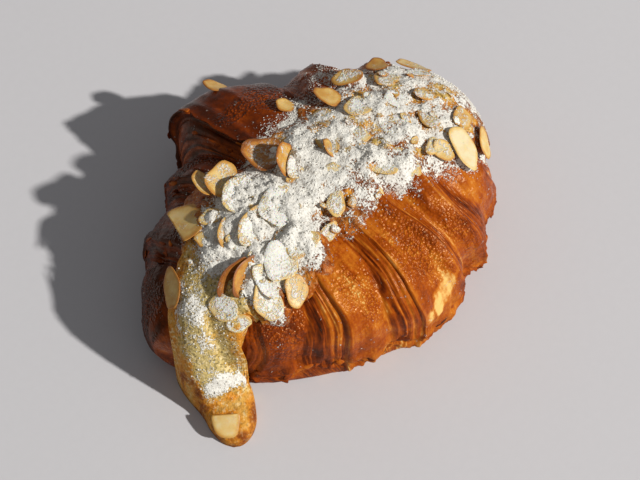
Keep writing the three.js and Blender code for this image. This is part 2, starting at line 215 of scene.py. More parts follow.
def sugarCover(paint, amount, edge=0.05):  # grains show where noise plus the amount passes a level
    fine = paint.noise(sugar["grain"], 2, 0.7)
    clump = paint.noise(sugar["clump"], 2)
    single = paint.math("MULTIPLY", fine, 1 - sugar["clumpShare"])
    value = paint.math("MULTIPLY_ADD", clump, sugar["clumpShare"], single)
    value = paint.math("MULTIPLY_ADD", amount, sugar["perAmount"], value)
    cover = paint.span(value, sugar["level"] - edge, sugar["level"] + edge)
    white = paint.blend(paint.span(fine, 0.35, 0.6), sugar["shade"], sugar["colour"])
    return cover, white, fine


# pastry: the same dome and sheet edges as the solid, with finer layers, wrinkles and blisters

pastry = {
    "tongueReach": 85, "bluntReach": 80, "sweep": 11,
    "farWidth": 66, "nearWidth": 60, "ridge": 54, "end": 38, "belly": 19,
    "planPower": {"farTongue": 1.56, "farBlunt": 1.72, "nearTongue": 1.5, "nearBlunt": 1.75},
    "lipRaise": 1.2, "lipReach": 5, "fan": 5, "wobble": 1.1, "riseLength": 10, "riseShare": 0.85,
    "farSwell": 9, "unevenness": 0.8, "layers": 4, "arcPerRadian": 46,
    "nearPitch": 1.5, "farPitch": 2.1, "nearLeaf": 0.4, "farLeaf": 0.85,
    "nearOverhang": 0.6, "farOverhang": 2.4,
    "nearWrinkle": 0.1, "farWrinkle": 0.2, "blister": 0.7, "fold": 0.45, "raggedFoot": (1.2, 1.3),
    # x, turn round the roll, and the half widths of both
    "crispSpots": [(-53, 56, 10, 26), (-21, 50, 8, 20), (5, 44, 11, 22), (28, 55, 8, 15)],
    "torn": {"x": 3, "turn": 76, "slant": 0.73, "halfLength": 10.5, "halfTurn": 9},
    "bake": {  # how much each feature darkens, on a scale from 0 pale to 1 nearly black, painted shade and painted highlights among them
        "base": 0.46, "lip": 0.14, "nearGrooveShade": 0.24, "farGrooveShade": 0.34, "nearRidge": -0.24,
        "farRidge": -0.16, "fold": 0.12, "streak": 0.08, "blister": -0.06, "cloud": 0.1, "farSide": 0.33,
        "hollow": 0.2, "darkWrap": 0.09, "lightWrap": -0.13, "tongueEnd": 0.11, "edgeHighlight": -0.3, "torn": 0.05,
    },
    "dust": {"amount": 0.5, "drift": 0.3, "nearReach": 3.5, "farReach": 6, "bluntEnd": 0.52},
    "rings": 480, "around": 206,
}
# x on the near and far side, the way it opens, width of the open layers near and far, drop, and then how much
# it hangs over on the far side, opens on the near one, is painted with shade in its hollow, and bakes dark at
# its near lip (below zero the near lip is painted lighter as a highlight)
edgeColumns = ("near", "far", "faces", "nearBand", "farBand", "drop", "hang", "open", "hollow", "lip")
wrapEdges = [dict(zip(edgeColumns, row)) for row in (
    (-5, -8, -1, 11, 8, 4.4, 1, 1, 1, -0.7),
    (-31, -29, -1, 12, 7, 4.2, 0, 1, 1.5, -0.7),
    (-57, -55, -1, 7, 6, 3.4, 0, 0.35, 1, 0.4),
    (10, 18, 1, 6, 6, 3.4, 0, 1, 1, 0.4),
    (27, 41, 1, 10, 7, 3.8, 0, 1, 1, 0.4),
    (52, 60, 1, 7, 6, 3.2, 0, 1, 1, 0.4),
)]


def reachOf(s):  # length of the half that a place is in, by its sign
    return np.where(np.asarray(s) < 0, pastry["tongueReach"], pastry["bluntReach"])


def sweepAt(s):  # the tongue end bends away by the cube of the share along
    return np.where(np.asarray(s) < 0, pastry["sweep"] * np.abs(s) ** 3, 0)


def sectionAt(s, isFar):  # superellipse half width, end closing and ridge height at a share along the roll
    reach = np.minimum(1, np.abs(s))
    powers = pastry["planPower"]
    far = np.where(s < 0, powers["farTongue"], powers["farBlunt"])
    near = np.where(s < 0, powers["nearTongue"], powers["nearBlunt"])
    power = np.where(isFar, far, near)
    width = np.where(isFar, pastry["farWidth"], pastry["nearWidth"])
    side = width * (1 - reach ** power) ** (1 / power)
    return side, (1 - reach ** 6) ** 0.4, mix(pastry["ridge"], pastry["end"], reach ** 3)


def domePoint(s, angle):  # powers of sine and cosine: a dome over the belly and a flat foot, with the normal
    side, closing, top = sectionAt(s, angle > 0)
    across, upward = np.sin(angle), np.cos(angle)
    isDome = upward > 0
    spread = np.abs(across) ** np.where(isDome, 0.9, 0.45)
    belly = pastry["belly"]
    dome = (top - belly) * closing * np.maximum(0, upward) ** 0.85
    foot = np.minimum(1, closing * 1.25 * np.maximum(0, -upward) ** 0.7)
    y = sweepAt(s) + side * np.sign(across) * spread
    z = belly + dome - belly * foot
    tall = np.where(isDome, np.maximum(1, (top - belly) * closing), belly)
    outY, outZ = across / np.maximum(1, side), upward / tall
    size = np.hypot(outY, outZ)
    return reachOf(s) * s, y, z, outY / size, outZ / size


def edgePlace(index, angle):  # x of a sheet edge at an angle: near to far, fanned towards its end, wavering
    edge = wrapEdges[index]
    middle = mix(edge["near"], edge["far"], smooth(-25 * degree, 25 * degree, angle))
    turned = np.abs(angle) / (math.pi / 2)
    wave = np.sin(3 * angle + 1.7 * index) + 0.6 * np.sin(7 * angle + 2.3 * index)
    return middle + edge["faces"] * pastry["fan"] * turned ** 1.5 + pastry["wobble"] * wave


def layerSteps(share, layers, start=0.2):  # staircase from 0 to 1 with flat treads
    stair = np.clip(share, 0, 1) * layers
    tread = np.minimum(layers - 1, np.floor(stair))
    return (tread + smooth(start, 1, stair - tread)) / layers


def bandWidth(index, angle):  # width of the open layers, narrowing towards the ridge
    edge = wrapEdges[index]
    width = np.where(angle > 0, edge["farBand"], edge["nearBand"])
    return width * mix(0.45, 1, smooth(10, 80, np.abs(angle) / degree))


def beyondEdge(index, x, angle):  # distance past a sheet edge, on its open side
    return wrapEdges[index]["faces"] * (x - edgePlace(index, angle))


def edgeRelief(index, x, angle, isFine):  # raised lip, layered steps down, then the next wrap's rise
    band = bandWidth(index, angle)
    fall = wrapEdges[index]["drop"] * mix(0.6, 1, smooth(15, 50, np.abs(angle) / degree))
    lipRaise = pastry["lipRaise"]
    beyond = beyondEdge(index, x, angle)
    before = lipRaise * np.exp(-((np.minimum(beyond, 0) / pastry["lipReach"]) ** 2))
    share = beyond / band
    if isFine:  # a sharp first fall under the lip, then the opened layers
        steps = 0.3 * smooth(0, 0.12, share) + 0.7 * layerSteps((share - 0.12) / 0.88, pastry["layers"], 0.65)
    else:
        steps = layerSteps(share, 2)
    after = lipRaise - (fall + lipRaise) * steps
    after = after + fall * pastry["riseShare"] * smooth(band, band + pastry["riseLength"], beyond)
    return np.where(beyond < 0, before, after)


def broadRelief(x, angle, isFine):  # edges, the far bulge of the middle wrap and slow unevenness
    total = sum(edgeRelief(k, x, angle, isFine) for k in range(len(wrapEdges)))
    past = layerSteps(beyondEdge(0, x, angle) / wrapEdges[0]["farBand"], 4 if isFine else 2)
    total = total + pastry["farSwell"] * bell(angle / degree, 72, 24) * (1 - past) * (1 - smooth(4, 26, x))
    waves = np.sin(0.11 * x + 2 * angle) + 0.7 * np.sin(0.23 * x - 3 * angle + 1.3)
    return total + pastry["unevenness"] * waves


def reliefShare(s, angle):  # relief fades out under the foot and at the two ends
    return (1 - smooth(104, 134, np.abs(angle) / degree)) * (1 - smooth(0.9, 1, np.abs(s)))


def pastryTop(x, y):  # height of the smooth dome over a place in plan, 0 outside it
    s = x / reachOf(x)
    off = y - sweepAt(s)
    side, closing, top = sectionAt(s, off > 0)
    across = np.minimum(1, np.abs(off) / np.maximum(side, 1e-6)) ** (1 / 0.9)
    upward = np.sqrt(np.maximum(0, 1 - across ** 2))
    inside = (np.abs(s) < 1) & (np.abs(off) < side)
    return np.where(inside, pastry["belly"] + (top - pastry["belly"]) * closing * upward ** 0.85, 0)


def crustAngle(x, y):  # angle round the roll of a place in plan
    s = x / reachOf(x)
    off = y - sweepAt(s)
    side = np.maximum(sectionAt(s, off > 0)[0], 1e-6)
    return np.sign(off) * np.arcsin(np.minimum(1, np.abs(off) / side) ** (1 / 0.9))


restPlaces = [float(edgePlace(k, 0.0)) for k in range(len(wrapEdges))]  # x of each sheet edge on the ridge


def ringLanes(count):  # places of the rings on the ridge, closer together where the layers open
    run = np.linspace(-1, 1, 4001)
    s = mix(run, np.sin(run * math.pi / 2), 0.3)
    lane = reachOf(s) * s
    weight = 1 + 1.1 * sum(bell(lane, r + 3.5 * e["faces"], 6.5) for r, e in zip(restPlaces, wrapEdges))
    total = np.cumsum(weight)
    return np.interp(np.linspace(0, total[-1], count + 2)[1:-1], total, lane)


def ringPlaces(lane, angle):  # ring places slide so that rings run along the sheet edges
    order = np.argsort(restPlaces)
    fade = 1 - smooth(100 * degree, 150 * degree, np.abs(angle))
    shift = [fade * (edgePlace(k, angle) - restPlaces[k]) for k in order]
    rest = np.array([-pastry["tongueReach"], *np.sort(restPlaces), pastry["bluntReach"]], float)
    shift = np.array([0 * angle, *shift, 0 * angle])
    upper = np.clip(np.searchsorted(rest, lane), 1, len(rest) - 1)
    share = ((lane - rest[upper - 1]) / (rest[upper] - rest[upper - 1]))[:, None]
    return lane[:, None] + mix(shift[upper - 1], shift[upper], share)


def aroundAngles(count):  # angles round the roll, closest together on the two sides that show
    turn = np.linspace(-1, 1, count + 1)[:-1]
    return np.sign(turn) * np.interp(np.abs(turn), [0, 0.1, 0.85, 1], [0, 20, 112, 180]) * degree


def openLayers(g):  # leaves counted off from each sheet edge inside its band, uneven in pitch and strength
    leaf, groove, ridge, lip, overhang, opened, hollow = np.zeros((7, *g.x.shape))
    for k, (rest, edge) in enumerate(zip(restPlaces, wrapEdges)):
        beyond, band = beyondEdge(k, g.x, g.angle), bandWidth(k, g.angle)
        inside = window(beyond, -2.5, 0.5, band, band + mix(2, 6, g.farSide))
        inside = inside * edge["open"] ** (1 - g.farSide)
        count = edge["faces"] * (g.lane - rest) / mix(pastry["nearPitch"], pastry["farPitch"], g.farSide)
        count = count + 0.35 * np.sin(2.3 * count + k) + 0.4 * noiseAt(g.arc / 15, g.lane / 5, k, 9)
        number = np.floor(count)
        part = count - number  # a leaf climbs slowly and ends in a sharp fall
        strong = mix(0.3, 1.1, draw(number + 40 * k, 12)) + 0.4 * noiseAt(g.arc / 22, number * 1.7, k, 11)
        leaf += inside * strong * (np.minimum(part / 0.8, (1 - part) / 0.2) - 0.5)
        # darker at the foot of each leaf's sharp fall: painted shade in the groove
        groove += inside * strong * (smooth(0.8, 0.98, part) + 1 - smooth(0, 0.16, part))
        # lighter golden along each leaf's crest, partly a painted highlight
        ridge += inside * strong * bell(part, 0.6, 0.16)
        opened = np.maximum(opened, inside)
        # painted shade in the hollow below the lip, strongest late in the band
        hollow = np.maximum(hollow, bell(beyond / band, 0.78, 0.24) * edge["hollow"])
        # lips bake dark, but the near lips of the first two edges are painted lighter as a highlight
        brown = mix(edge["lip"], 1, g.farSide)
        lip += brown * np.exp(-((np.minimum(beyond + 0.5, 0) / 2.4) ** 2)) * (beyond < 0.5)
        onFar = smooth(10, 40, g.angle / degree) * edge["hang"]
        ragged = 1 + mix(0.25, 0.7, onFar) * noiseAt(g.arc / 4.5, k, 0, 13)
        lean = edge["faces"] * mix(pastry["nearOverhang"], pastry["farOverhang"], onFar)
        overhang += lean * (bell(beyond, -0.5, 1.3) * ragged - 0.5 * bell(beyond, 1.6, 0.9))
    shades = {"groove": groove, "ridge": ridge, "lip": lip, "hollow": hollow}
    return SimpleNamespace(leaf=leaf, overhang=overhang, opened=opened, **shades)


def tornPatch(g):  # 1 inside a slanted oval with a rough edge, low on the near side
    torn = pastry["torn"]
    off = g.x - torn["x"]
    slanted = g.turned - torn["turn"] + torn["slant"] * off
    rough = 0.25 * layeredNoise(g.lane / 2.2, g.arc / 4, 0, 23)
    distance = np.hypot(off / torn["halfLength"], slanted / torn["halfTurn"]) + rough
    return (1 - smooth(0.5, 1.1, distance)) * (g.angle < 0)


def crustBakeAndShade(g, layers):  # how dark it baked, with painted shade and painted highlights added: tones added up for lips, leaves, folds and places on the roll
    tone = pastry["bake"]
    nearSide = 1 - g.farSide
    bake = tone["base"] + tone["lip"] * layers.lip
    # the grooves are darkened as painted shade
    bake += mix(tone["nearGrooveShade"], tone["farGrooveShade"], g.farSide) * layers.groove
    # the leaf crests are lighter, partly as painted highlight
    bake += mix(tone["nearRidge"], tone["farRidge"], g.farSide) * layers.ridge
    bake += tone["fold"] * g.fold + tone["streak"] * g.streak + tone["blister"] * g.blister
    bake += tone["cloud"] * layeredNoise(g.lane / 13, g.arc / 17, 0, 29, 2)
    # the far side is painted darker as shade, fading out towards the blunt end
    bake += tone["farSide"] * g.farSide * (1 - smooth(20, 50, g.x))
    # the hollows below the near lips are painted darker as shade
    bake += tone["hollow"] * nearSide * layers.hollow * (1 - 0.45 * smooth(60, 85, g.turned))
    bake += nearSide * (tone["darkWrap"] * bell(g.x, 17, 7) + tone["lightWrap"] * bell(g.x, -21, 8))
    # low on the far side and at the left end the foot is painted darker as shade, low on the near side from x
    # -45 on it is painted lighter as light from the floor, and the whole tongue end is painted darker as shade
    foot = mix(mix(0.1, -0.05, smooth(-65, -45, g.x)), 0.12, g.farSide)
    bake += tone["tongueEnd"] * (1 - smooth(-55, -30, g.x)) + foot * smooth(84, 100, g.turned)
    # a thin lighter line along the far lip of the middle wrap: a painted highlight
    edge = bell(beyondEdge(0, g.x, g.angle), -0.7, 0.6) * smooth(30, 50, g.turned)
    bake += tone["edgeHighlight"] * g.farSide * edge
    return mix(bake, tone["torn"] + 0.1 * g.streak, g.patch)


def crispShare(g):  # bubbled places: four spots on the near side, noise on the far one
    spots = [bell(g.x, x, wide) * bell(g.turned, turn, tall) for x, turn, wide, tall in pastry["crispSpots"]]
    spotted = np.max(spots, axis=0) + 0.3 * layeredNoise(g.lane / 5, g.arc / 6, 0, 39, 2)
    broad = layeredNoise(g.lane / 15, g.arc / 18, 0, 37, 2)
    return mix(0.2 + 0.8 * smooth(0.05, 0.9, spotted), smooth(-0.05, 0.35, broad), g.farSide)


def crustDust(g, points, opened):  # sugar fades with the distance from the cream, and lies on the blunt end
    along, across = creamShares(points[..., 0].ravel(), points[..., 1].ravel())
    away = ((np.abs(across) - 1) * creamWidth(along)).reshape(g.x.shape)
    dusted = pastry["dust"]
    reach = mix(dusted["nearReach"], dusted["farReach"], g.farSide) * mix(0.2, 1, smooth(-25, 10, g.x))
    reach = reach * mix(smooth(-20, 0, g.x), 1, g.farSide) + 0.3
    dust = dusted["amount"] + dusted["drift"] * layeredNoise(g.lane / 9, g.arc / 9, 0, 31, 2)
    dust = dust * np.exp(-np.maximum(0, away) / reach) * smooth(0.1, 0.4, np.cos(g.angle))
    dust = dust * smooth(-70, -40, g.x) * mix(smooth(-24, -8, g.x), 1, g.farSide)
    bluntEnd = smooth(20, 40, g.x) * bell(g.angle / degree, 34, 22) * (1 - 0.6 * opened)
    return np.maximum(dust, dusted["bluntEnd"] * bluntEnd), away


def buildCrust(material):  # the dome pushed out along its normals by the relief, closed by two end points
    lane, angle = ringLanes(pastry["rings"]), aroundAngles(pastry["around"])
    x = ringPlaces(lane, angle)
    lane, angle = np.broadcast_to(lane[:, None], x.shape), np.broadcast_to(angle[None], x.shape)
    s, arc, turned = x / reachOf(x), angle * pastry["arcPerRadian"], np.abs(angle) / degree
    # g keeps the grid's places and the values on it
    g = SimpleNamespace(x=x, lane=lane, angle=angle, arc=arc, turned=turned, farSide=smooth(-0.2, 0.2, angle))
    g.streak = layeredNoise(lane / 1.9, arc / 17, 0, 3)  # wrinkles that run along the wraps
    g.fold = layeredNoise(lane / 5.5, arc / 22, 0, 5, 2)
    g.blister = np.maximum(0, noiseAt(lane / 3.1, arc / 3.6, 0, 7) - 0.2) ** 1.3
    g.patch = tornPatch(g)
    layers = openLayers(g)
    panel = 1 - layers.opened
    fine = mix(pastry["nearWrinkle"], pastry["farWrinkle"], g.farSide) * g.streak
    fine = (fine + pastry["blister"] * g.blister) * panel + pastry["fold"] * g.fold
    small, broad = pastry["raggedFoot"]
    ragged = small * layeredNoise(lane / 3.2, arc / 3.2, 0, 17) + broad * noiseAt(lane / 7, arc / 20, 0, 19)
    fine += ragged * window(turned, 78, 98, 112, 130)
    fine += mix(pastry["nearLeaf"], pastry["farLeaf"], g.farSide) * layers.leaf
    share = reliefShare(s, angle)
    relief = (broadRelief(x, angle, True) + fine) * share
    px, y, z, outY, outZ = domePoint(s, angle)
    px = px + layers.overhang * smooth(18, 45, turned) * share
    points = np.stack([px, y + outY * relief, np.maximum(0, z + outZ * relief)], -1)
    dust, away = crustDust(g, points, layers.opened)
    tongueEnd = [-pastry["tongueReach"], pastry["sweep"], pastry["belly"]]
    bluntEnd = [pastry["bluntReach"], 0, pastry["belly"]]
    values = {
        "bake": (crustBakeAndShade(g, layers), 0.5, 0.5), "dust": (dust, 0, 0),
        "dull": (np.maximum(g.patch, 0.7 * smooth(74, 92, turned)), 0, 0),
        "crisp": (crispShare(g) * panel * (1 - g.patch), 0, 0), "opened": (layers.opened, 0, 0),
        "lane": (lane, tongueEnd[0], bluntEnd[0]), "arc": (np.abs(arc), 0, 0),
    }
    closed = np.concatenate([points.reshape(-1, 3), [tongueEnd, bluntEnd]])
    crust = makePiece(
        "crust", closed, ringFaces(*x.shape), material, "crust",
        **{name: np.append(value, ends) for name, (value, *ends) in values.items()},
    )
    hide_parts("pastry")
    return points, dust * (away > -2), lane, angle


crustFinish = {
    "grain": 480, "patch": 110, "bubble": 900, "wrinkle": 300,  # scales per metre
    "fibre": (1.0, 15),  # pitch across and along the wraps, in millimetres
    "tones": [
        (0.0, (0.76, 0.48, 0.15)),
        (0.25, (0.50, 0.145, 0.011)),
        (0.5, (0.32, 0.058, 0.003)),
        (0.75, (0.15, 0.022, 0.002)),
        (1.0, (0.05, 0.008, 0.002)),
    ],
    "roughness": (0.24, 0.36), "ior": 1.4, "specular": 0.34, "tint": (1, 0.64, 0.32),
}


def wrapNoise(paint, lanePitch, arcPitch):  # noise drawn out along the wraps
    join = paint.nodes.new("ShaderNodeCombineXYZ")
    paint.feed(join.inputs["X"], paint.math("DIVIDE", paint.value("lane"), lanePitch))
    paint.feed(join.inputs["Y"], paint.math("DIVIDE", paint.value("arc"), arcPitch))
    return paint.noise(1.0, place=join.outputs[0])


def bubbleCells(paint):  # high in the middle of each rounded cell
    cells = paint.nodes.new("ShaderNodeTexVoronoi")
    cells.feature = "SMOOTH_F1"
    for name, value in {"Vector": paint.place(), "Scale": crustFinish["bubble"], "Smoothness": 0.35}.items():
        paint.feed(cells.inputs[name], value)
    return paint.math("SUBTRACT", 1.0, cells.outputs["Distance"])


def crustMaterial():  # coloured by the bake with its painted shade and highlights, fibrous where layers open, bubbled where crisp with painted glints on the bubble tops, then sugared
    paint = Paint("bakedCrust")
    crisp = paint.value("crisp")
    grain = paint.noise(crustFinish["grain"], 4, 0.65)
    bubble = bubbleCells(paint)
    layered = paint.span(paint.value("opened"), 0.0, 1.0, 0.35, 1.0)
    thread = wrapNoise(paint, *crustFinish["fibre"])
    tone = paint.math("ADD", paint.value("bake"), paint.swing(paint.noise(crustFinish["patch"]), 0.08))
    tone = paint.math("ADD", tone, paint.swing(grain, 0.07))
    tone = paint.math("MULTIPLY_ADD", paint.swing(thread, 0.13), layered, tone)
    # where crisp, bubble tops are painted lighter as glints and the gaps between them darker as painted shade
    tone = paint.math("MULTIPLY_ADD", crisp, paint.span(bubble, 0.45, 0.85, 0.13, -0.13), tone)
    colour = paint.ramp(tone, crustFinish["tones"])
    cover, white, _ = sugarCover(paint, paint.value("dust"))
    paint.put("Base Color", paint.blend(cover, colour, white))
    gloss = paint.span(grain, 0.3, 0.7, *crustFinish["roughness"])
    gloss = paint.math("MULTIPLY_ADD", crisp, -0.06, gloss)
    dull = paint.math("MAXIMUM", cover, paint.value("dull"))
    paint.put("Roughness", paint.math("MULTIPLY_ADD", dull, 0.5, gloss))
    paint.put("IOR", crustFinish["ior"])
    paint.put("Specular IOR Level", crustFinish["specular"])
    paint.put("Specular Tint", crustFinish["tint"])
    bump = paint.bump(paint.math("MULTIPLY", thread, layered), 0.4, 0.0008)
    bump = paint.bump(paint.noise(crustFinish["wrinkle"]), 0.25, 0.0012, bump)
    bump = paint.bump(paint.math("MULTIPLY", bubble, crisp), 1.0, 0.0007, bump)
    paint.put("Normal", paint.bump(cover, 0.7, 0.0004, bump))
    return paint.material


# almond cream: a stripe along the ridge and a tongue down the end

cream = {
    "tip": (-88, -34), "pull": (-70, -19), "bend": (-79, -4), "shoulder": (-58, -1), "end": (77, 1),
    "tongueShare": 0.28, "tipWidth": 8.5, "shoulderWidth": 20, "pileWidth": 33, "waistWidth": 26,
    "stripeWidth": 30, "pileShift": 6, "waistShift": 4.5, "shoulderRaise": 4.5, "pinch": 0.26,
    "tipHeight": 9, "drop": 37, "thick": 4, "depth": 6, "tipCap": 0.05, "endCap": 0.1,
    "bank": 2.6, "crease": 4, "creasePlace": -71.2, "lobe": 1.5, "lobePlace": (-65.5, -15), "knee": 1.3,
    "showThrough": 0.55, "held": 0.96,
    "toast": {  # on a scale from 0 pale to 1 brown
        "edge": 0.64, "lump": 0.25, "lobe": 0.75, "tip": 0.65, "tipRim": 0.17,
        "stripe": 1.1, "stripeLump": 0.2, "stripeMiddle": -0.4, "tan": 0.42,
    },
    "powder": {
        "tongue": 0.3, "bend": 0.45, "stripe": 0.78, "thin": 0.47, "bare": 0.12, "knee": 1.1,
        "bank": 0.35, "tan": -0.3, "lines": -0.32,
    },
    "along": 420, "across": 84,
}


def creamLine(along):  # cubic curve up the tongue, then a line along the ridge, shifted at pile and waist
    names = ("tip", "pull", "bend", "shoulder", "end")
    tip, pull, bend, shoulder, end = [np.array(cream[name], float) for name in names]
    t = np.clip(along / cream["tongueShare"], 0, 1)[..., None]
    u = 1 - t
    place = u ** 3 * tip + 3 * u ** 2 * t * pull + 3 * u * t ** 2 * bend + t ** 3 * shoulder
    slope = 3 * u ** 2 * (pull - tip) + 6 * u * t * (bend - pull) + 3 * t ** 2 * (shoulder - bend)
    share = np.maximum(0, (along - cream["tongueShare"]) / (1 - cream["tongueShare"]))[..., None]
    place = place + share * (end - shoulder)
    place[..., 1] += cream["pileShift"] * bell(along, 0.39, 0.08)
    place[..., 1] += cream["waistShift"] * window(along, 0.4, 0.5, 0.68, 0.8)
    return place, unit(np.where(share > 0, end - shoulder, slope))


def roundedCap(share):  # quarter circle from 0 to 1
    return np.sqrt(1 - (1 - np.clip(share, 0, 1)) ** 2)


def creamCap(along):  # rounded at the tip and at the blunt end, 1 between
    return roundedCap(along / cream["tipCap"]) * roundedCap((1 - along) / cream["endCap"])


def creamWidth(along):  # half width: swelling up the tongue, pile, waist, a wider blunt half, rippled edges
    t = np.minimum(1, along / cream["tongueShare"])
    width = mix(cream["tipWidth"], cream["shoulderWidth"], t ** 1.4)
    width = mix(width, cream["pileWidth"], smooth(0.27, 0.36, along))
    width = mix(width, cream["waistWidth"], smooth(0.41, 0.5, along))
    width = mix(width, cream["stripeWidth"], smooth(0.7, 0.83, along))
    ripple = 0.07 * np.sin(47 * along) + 0.05 * np.sin(83 * along + 1.3)
    return width * (1 + ripple * smooth(0.2, 0.35, along)) * creamCap(along)


def creamPlan(along, across):  # middle line and half width to either side, drawn in at the tongue's near side
    place, slope = creamLine(along)
    drawnIn = cream["pinch"] * bell(along / cream["tongueShare"], 0.445, 0.075) * (across > 0)
    width = creamWidth(along) * (1 - drawnIn)
    return place[..., 0] + slope[..., 1] * across * width, place[..., 1] - slope[..., 0] * across * width


def creamTop(along, across):  # the higher of a drape over the pastry and the tongue's own rounded hump
    x, y = creamPlan(along, across)
    cap = creamCap(along)
    bed = pastryTop(x, y)
    t = along / cream["tongueShare"]
    flat = np.maximum(0, 1 - np.abs(across) ** 3)
    drape = np.where(bed > 0, bed + cream["thick"] * np.sqrt(flat) * cap, 0)
    crown = cream["tipHeight"] + cream["drop"] * smooth(0.2, 0.76, t)
    crown = crown + cream["shoulderRaise"] * bell(t, 0.9, 0.2) * smooth(0.1, 0.75, -across)
    return x, y, np.maximum(drape, crown * cap * flat ** (1 / 3)), bed, cap, t


def creamShares(x, y):  # share along: nearest on the tongue, then straight on; and the signed share across
    x, y = np.atleast_1d(x).astype(float), np.atleast_1d(y).astype(float)
    tongue = cream["tongueShare"]
    tries = (np.arange(80) + 0.5) / 80 * tongue
    place = creamLine(tries)[0]
    nearest = np.argmin((place[:, 0] - x[:, None]) ** 2 + (place[:, 1] - y[:, None]) ** 2, axis=1)
    shoulder, end = cream["shoulder"][0], cream["end"][0]
    straight = np.minimum(tongue + (1 - tongue) * (x - shoulder) / (end - shoulder), 0.995)
    along = np.where(x > shoulder, straight, tries[nearest])
    place, slope = creamLine(along)
    across = ((x - place[:, 0]) * slope[:, 1] - (y - place[:, 1]) * slope[:, 0]) / creamWidth(along)
    return along, across


def bankAt(x, y):  # bells beside the dusted flakes of the pile, where powder lies against their raised sides
    dusted = (column(placedFlakes, "dust") > 0.45) & (column(placedFlakes, "x") > -60)
    clear = 1
    for px, py, length in placedFlakes[dusted, :3]:
        clear = clear * (1 - bell(np.hypot(x - px + 0.15 * length, y - py - 0.16 * length), 0, 0.52 * length))
    return 1 - clear


def creamSurface():  # the smooth top with lumps, folds and banks added, then back underneath along the bed
    half = cream["across"]
    upper = np.cos(np.linspace(0, math.pi, half + 1))  # near edge to far edge over the top
    lower = np.linspace(-1, 1, half // 4 + 2)[1:-1]
    along = np.linspace(0, 1, cream["along"] + 2)[1:-1]
    along, across = np.meshgrid(along, np.append(upper, lower), indexing="ij")
    x, y, z, bed, cap, t = creamTop(along, across)
    edge = np.sqrt(np.maximum(0, 1 - np.abs(across) ** 3))
    s = x / reachOf(x)  # the corners of the blunt end lie against the pastry's side
    side = cream["held"] * np.where(np.abs(s) < 1, sectionAt(s, y > 0)[0], 0)
    isHeld = (x > 40) & (np.abs(y) > side)
    y = np.where(isHeld, np.sign(y) * side, y)
    bed = np.where(isHeld, pastryTop(x, y), bed)
    z = np.where(isHeld, bed + cream["thick"] * edge * cap, z)
    g = SimpleNamespace(x=x, y=y, t=t, across=across, rim=np.abs(across), edge=edge)
    g.onStripe = smooth(0.9, 1.15, t)
    g.lump = layeredNoise(x / 9, y / 9, 0, 41)
    g.heap = layeredNoise(x / 2.6, y / 2.6, z / 2.6, 43)
    g.crease = bell(x, cream["creasePlace"], 2.2) * window(y, -21, -15, -7, -2)
    g.knee = bell(t + 0.03 * g.lump, 0.36, 0.05) * mix(1.3, 0.6, g.rim)
    g.bank = bankAt(x, y)
    lobe = bell(x, cream["lobePlace"][0], 4) * bell(y, cream["lobePlace"][1], 7)
    ripple = broadRelief(x, crustAngle(x, y), True) - pastry["lipRaise"]  # wraps show through a thin cover
    raised = edge * cap * (mix(0.5, 1.3, g.onStripe) * g.lump + mix(0.25, 0.75, g.onStripe) * g.heap)
    raised += cream["lobe"] * lobe - cream["crease"] * g.crease
    raised += cream["knee"] * g.knee * edge * (1 + 0.5 * g.heap)
    raised += cream["bank"] * g.bank * edge * (1 + 0.4 * g.heap)
    raised += cream["showThrough"] * ripple * g.onStripe * smooth(0.3, 0.6, g.rim) * (bed > 0)
    under = np.maximum(0, bed - cream["depth"] * cap) * smooth(0.7, 1, t)
    isUpper = np.arange(x.shape[1]) <= half
    g.points = np.stack([x, y, np.where(isUpper, np.maximum(z + raised, under), under)], -1)
    g.tan = smooth(0.05, 0.45, layeredNoise(x / 6, y / 6, 0, 47, 2)) * smooth(-15, 5, x)
    g.tan = g.tan * (1 - smooth(0.6, 0.9, g.rim))  # patches that baked lighter
    return g


def creamToast(g):  # golden edges and lobe, an orange tip with a browner rim, and brown along the stripe
    tone = cream["toast"]
    toast = tone["edge"] * smooth(0.55, 0.9, g.rim) + tone["lump"] * g.lump
    toast = np.maximum(toast, tone["lobe"] * bell(g.x, -66, 4.5) * bell(g.y, -18, 6))
    tipRim = np.maximum(smooth(0.5, 1, g.rim), 1 - smooth(0.03, 0.14, g.t))
    tip = (tone["tip"] + tone["tipRim"] * tipRim) * (1 - smooth(0.27, 0.36, g.t))
    stripe = tone["stripe"] + tone["stripeLump"] * g.lump + tone["stripeMiddle"] * (1 - g.rim)
    return mix(np.maximum(toast, tip), mix(stripe, tone["tan"], g.tan), g.onStripe)


